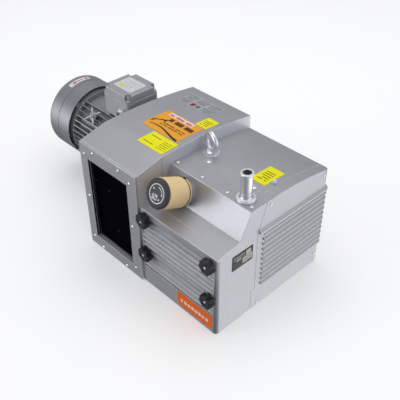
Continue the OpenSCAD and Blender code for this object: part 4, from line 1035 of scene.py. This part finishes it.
def make_plates():
    """The cover's orange plate and the black rating plate."""
    low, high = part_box("name_plate")
    sheet = solids_of("name_plate")[0][0]
    round_corners(sheet, low, high, 2.5, (0, 2), 1)
    smooth(sheet, 20)
    film = Film("print name plate", (low, high), 0, 2, rgb(1.0, 0.15, 0.0))
    for i, wide in enumerate((0.06, 0.075, 0.07, 0.08, 0.075, 0.07, 0.06, 0.07)):
        start = 0.09 + i * 0.105
        film.box(start, 0.34, start + wide, 0.56 + 0.02 * (i % 2), WHITE)
    dress(sheet, "plate_orange", "filter_cover", "orange_plate", film.finished(0.3),
          instead_of=["name_plate"])

    low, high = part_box("rating_plate")
    sheet = solids_of("rating_plate")[0][0]
    round_corners(sheet, low, high, 2, (1, 2), 0)
    smooth(sheet, 20)
    film = Film("print rating plate", (low, high), 1, 2, rgb(0.004, 0.004, 0.004))
    pale = rgb(0.50, 0.50, 0.42)
    film.box(0.50, 0.14, 0.97, 0.56, pale)
    film.box(0.66, 0.60, 0.90, 0.90, pale)
    film.box(0.20, 0.52, 0.44, 0.60, pale)
    film.rows(0.05, 0.10, 0.46, 0.46, 4, 7, rgb(0.10, 0.10, 0.09), 0.25)
    film.rows(0.05, 0.66, 0.60, 0.92, 3, 9, pale, 0.35)
    film.rows(0.53, 0.18, 0.94, 0.52, 4, 8, INK, 0.3)
    dress(sheet, "plate_rating", "root", "black_plate", film.finished(0.35), instead_of=["rating_plate"])


# ---- the whole pump ----

def shade_opening_walls(obj, slot):
    """Black painted shade on the sides and the top of the outlet's opening."""
    low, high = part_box("outlet_frame")
    for face in obj.data.polygons:
        inside = (low.x + 12 * MM < face.center.x < high.x - 8 * MM
                  and low.z + 12 * MM < face.center.z < high.z - 8 * MM
                  and face.center.y < high.y + 40 * MM)
        if inside and (abs(face.normal.x) > 0.9 or face.normal.z < -0.9):
            face.material_index = slot


def paint_light_and_shade_on_ribs(obj):
    """Painted highlight on the tips of the cover's ribs, and painted shade in the grooves and on the faces that
    look down.
    """
    low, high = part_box("filter_cover")
    lowest_rib = 56 * MM
    largest_tip = 1.8e-3
    for face in obj.data.polygons:
        spot, normal = face.center, face.normal
        in_field = (spot.y < low.y + 5.2 * MM and low.x + 8 * MM < spot.x < high.x - 8 * MM
                    and lowest_rib < spot.z < high.z - 12 * MM)
        faces_front = normal.y < -0.9
        # Rib tips take the paler rim finish: a painted highlight.
        if in_field and faces_front and spot.y < low.y + 1 * MM and face.area < largest_tip:
            face.material_index = 1
        # Groove floors and down-facing rib sides take the darker third finish: painted shade.
        elif in_field and (normal.z < -0.3 or (faces_front and spot.y > low.y + 2.5 * MM)):
            face.material_index = 2


def make_castings(paint, rim, motor, motor_rim, flange, opening_shade, groove):
    """The painted castings; the hood's end face takes the paler flange finish as a painted highlight, and the
    walls of the outlet's opening a black painted shade.
    """
    hood = casting("coupling_hood", 1.0, paint, rim, flange)
    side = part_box("coupling_hood")[1].x
    # Painted highlight: the hood's +X end face takes the paler flange finish.
    for face in hood.data.polygons:
        if face.normal.x > 0.99 and face.center.x > side - 0.5 * MM:
            face.material_index = 2
    hood.data.materials.append(opening_shade)
    shade_opening_walls(hood, 3)
    casting("pump_casing", 1.0, paint, rim)
    shade_opening_walls(casting("outlet_frame", 0.8, paint, rim, opening_shade), 2)
    casting("end_cover", 0.5, paint, rim)
    paint_light_and_shade_on_ribs(casting("filter_cover", 0.6, paint, rim, groove))
    casting("motor_frame", 0.7, motor, motor_rim)
    casting("motor_end_shield", 1.0, motor, motor_rim)
    casting("fan_cowl", 0.4, motor, motor_rim)
    casting("terminal_box", 1.5, paint, rim)
    casting("terminal_lid", 1.0, paint, rim)


def dress_the_rest(finishes):
    """Every node that keeps its own shape gets the finish of its slot."""
    for node, obj in NODES.items():
        if obj.hide_render:
            continue
        for slot in obj.material_slots:
            slot.material = finishes[SLOT_OF[node]]


def make_pump():
    """All the finishes, and every piece in its own."""
    paint = cast_paint("cast paint", PAINT)
    rim = edge_paint_worn_and_highlit("cast paint on edges with painted highlight", PAINT)
    motor = cast_paint("motor paint", MOTOR_PAINT)
    motor_rim = edge_paint_worn_and_highlit("motor paint on edges with painted highlight", MOTOR_PAINT)
    crease_y = -0.117
    # Paler than the cast paint: a painted highlight for the light on the hood's end face.
    flange = flange_with_painted_highlight("flange with painted highlight", rgb(0.60, 0.61, 0.66), crease_y)
    plated = zinc("zinc plate", ZINC)
    knob_plastic = moulded("knob plastic", BLACK)
    black_rubber = rubber("black rubber", rgb(0.035, 0.035, 0.04))
    regulator = JOINTS["regulator_turn"]
    turn = Vector((0, 0, 1)).rotation_difference(Vector(regulator["axis"])).to_euler()
    sleeve_paper = filter_paper("sleeve paper", SLEEVE, regulator["pos_m"], turn)
    wheel_print = wheel_face("wheel face", regulator["pos_m"], turn, 25 * MM)
    # Near-black painted shade for the walls of the outlet's opening.
    opening_shade = moulded("painted shade in the opening", rgb(0.004, 0.004, 0.006), 0.7)
    # Painted shade for the cover's grooves: the cast paint at 0.55 of its brightness.
    groove = cast_paint("groove paint with painted shade", shade(PAINT, 0.55), 0.55, 0.3)
    make_castings(paint, rim, motor, motor_rim, flange, opening_shade, groove)
    screws("frame_screws", "heads_frame_screws", (0, -1, 0), 4.5, 3, plated)
    screws("end_cover_screws", "heads_end_cover_screws", (1, 0, 0), 4, 2.5, plated)
    screws("top_screws", "heads_top_screws", (0, 0, 1), 5, 3, plated)
    make_knobs(knob_plastic, plated)
    make_regulator(rubber("grip rubber", rgb(0.055, 0.055, 0.065)), wheel_print, sleeve_paper, plated,
                   moulded("band", rgb(0.05, 0.04, 0.035)))
    make_lifting_eye(plated)
    make_nozzle(plated)
    make_top_plugs(plated)
    make_cable_gland(plated)
    make_motor_lug(edge_paint_worn_and_highlit("lug paint", rgb(0.45, 0.46, 0.50)))
    make_cowl_screws(plated)
    make_mat(open_foam("open foam", rgb(0.0006, 0.0006, 0.002)))
    make_labels()
    make_plates()
    dress_the_rest({
        "casing_paint": paint,
        "motor_paint": motor,
        "zinc_steel": plated,
        "bare_steel": turned_steel("ground steel", rgb(0.55, 0.55, 0.57)),
        "cast_iron": grey_iron("grey iron", rgb(0.16, 0.16, 0.165)),
        "laminated_core": sheet_stack("core sheets", rgb(0.3, 0.3, 0.31)),
        "copper_winding": copper_wire("winding", rgb(0.55, 0.22, 0.08)),
        "black_plastic": knob_plastic,
        "black_rubber": black_rubber,
        "filter_paper": filter_paper("pleated paper", rgb(0.72, 0.68, 0.52), (0, 0, 0), (0, 0, 0)),
        "carbon_vane": moulded("carbon", rgb(0.03, 0.03, 0.032), 0.5),
        "spider_rubber": rubber("polyurethane", rgb(0.60, 0.40, 0.05)),
        "valve_brass": zinc("brass", rgb(0.75, 0.52, 0.22), 0.3),
        "terminal_bakelite": moulded("phenolic", rgb(0.10, 0.03, 0.015), 0.4),
    })


# Each pool of light: where it comes from, how narrow it is and how strong.
LIGHT_POOLS = [
    ((0, 0, 1), 3, 0.55),
    ((-0.57, -0.82, 0.02), 20, 5.0),
    ((0.57, 0.544, -0.615), 4, 1.6),
    ((1, 0.25, 0.2), 5, 0.8),
    ((-0.57, 0.544, 0.615), 6, 0.12),
]


def sky(pools, base):
    """A studio's soft surroundings: an even light and wide soft pools of it from several sides."""
    world = bpy.data.worlds.new("studio")
    world.use_nodes = True
    bpy.context.scene.world = world
    tree = world.node_tree
    place = tree.nodes.new("ShaderNodeTexCoord").outputs["Generated"]

    def combine(operation, one, two):
        node = tree.nodes.new("ShaderNodeMath")
        node.operation = operation
        for socket, value in zip(node.inputs, (one, two)):
            if isinstance(value, bpy.types.NodeSocket):
                tree.links.new(value, socket)
            else:
                socket.default_value = value
        return node.outputs[0]

    total = base
    for direction, narrowness, strength in pools:
        facing = tree.nodes.new("ShaderNodeVectorMath")
        facing.operation = "DOT_PRODUCT"
        tree.links.new(place, facing.inputs[0])
        facing.inputs[1].default_value = Vector(direction).normalized()
        pool = combine("POWER", combine("MAXIMUM", facing.outputs["Value"], 0.0), narrowness)
        total = combine("ADD", combine("MULTIPLY", pool, strength), total)
    tree.links.new(total, tree.nodes["Background"].inputs["Strength"])
    tree.nodes["Background"].inputs["Color"].default_value = (0.97, 0.98, 1.0, 1.0)


def lamp(name, place, target, size, watts):
    """A square area lamp that looks at its target."""
    data = bpy.data.lights.new(name, "AREA")
    data.shape = "SQUARE"
    data.size = size
    data.energy = watts
    obj = bpy.data.objects.new(name, data)
    bpy.context.scene.collection.objects.link(obj)
    obj.location = place
    obj.rotation_mode = "QUATERNION"
    obj.rotation_quaternion = (Vector(target) - Vector(place)).to_track_quat("-Z", "Y")


def make_studio():
    """The pale floor, the soft surroundings and one lamp."""
    low, _ = cad_box
    floor = start(bpy.ops.mesh.primitive_plane_add, size=30, location=(0, 0, low.z - 0.2 * MM))
    floor.name = "floor"
    cloth = Finish("pale floor", {"Roughness": 0.9, "Specular IOR Level": 0.1, "Emission Strength": 0.24,
                                  "Emission Color": rgb(1.0, 1.0, 1.0)})
    soft = cloth.noise(cloth.place(), 3.0, 3.0)
    floor.data.materials.append(cloth.drive(
        Base_Color=cloth.mix(soft, rgb(0.93, 0.93, 0.93), rgb(0.96, 0.96, 0.96))))
    floor.visible_diffuse = False
    floor.visible_glossy = False
    sky(LIGHT_POOLS, 0.28)
    lamp("overhead", (-0.3, 0.3, 2.4), (0, 0, 0.2), 2.4, 14)


def make_camera():
    """The view from the front right, above the pump."""
    data = bpy.data.cameras.new("camera")
    data.sensor_width = 36
    data.lens = 58.09
    data.clip_end = 100
    camera = bpy.data.objects.new("camera", data)
    bpy.context.scene.collection.objects.link(camera)
    azimuth, elevation, roll = (math.radians(degrees) for degrees in (46.337, 37.966, -0.237))
    back = Vector((math.sin(azimuth) * math.cos(elevation), -math.cos(azimuth) * math.cos(elevation),
                   math.sin(elevation)))
    right = Vector((math.cos(azimuth), math.sin(azimuth), 0))
    up = back.cross(right)
    across = right * math.cos(roll) + up * math.sin(roll)
    above = up * math.cos(roll) - right * math.sin(roll)
    camera.matrix_world = (Matrix.Translation((0.97684, -0.92331, 1.20770))
                           @ Matrix((across, above, back)).transposed().to_4x4())
    bpy.context.scene.camera = camera


make_camera()
make_pump()
make_studio()
bpy.context.scene.view_settings.view_transform = "Standard"
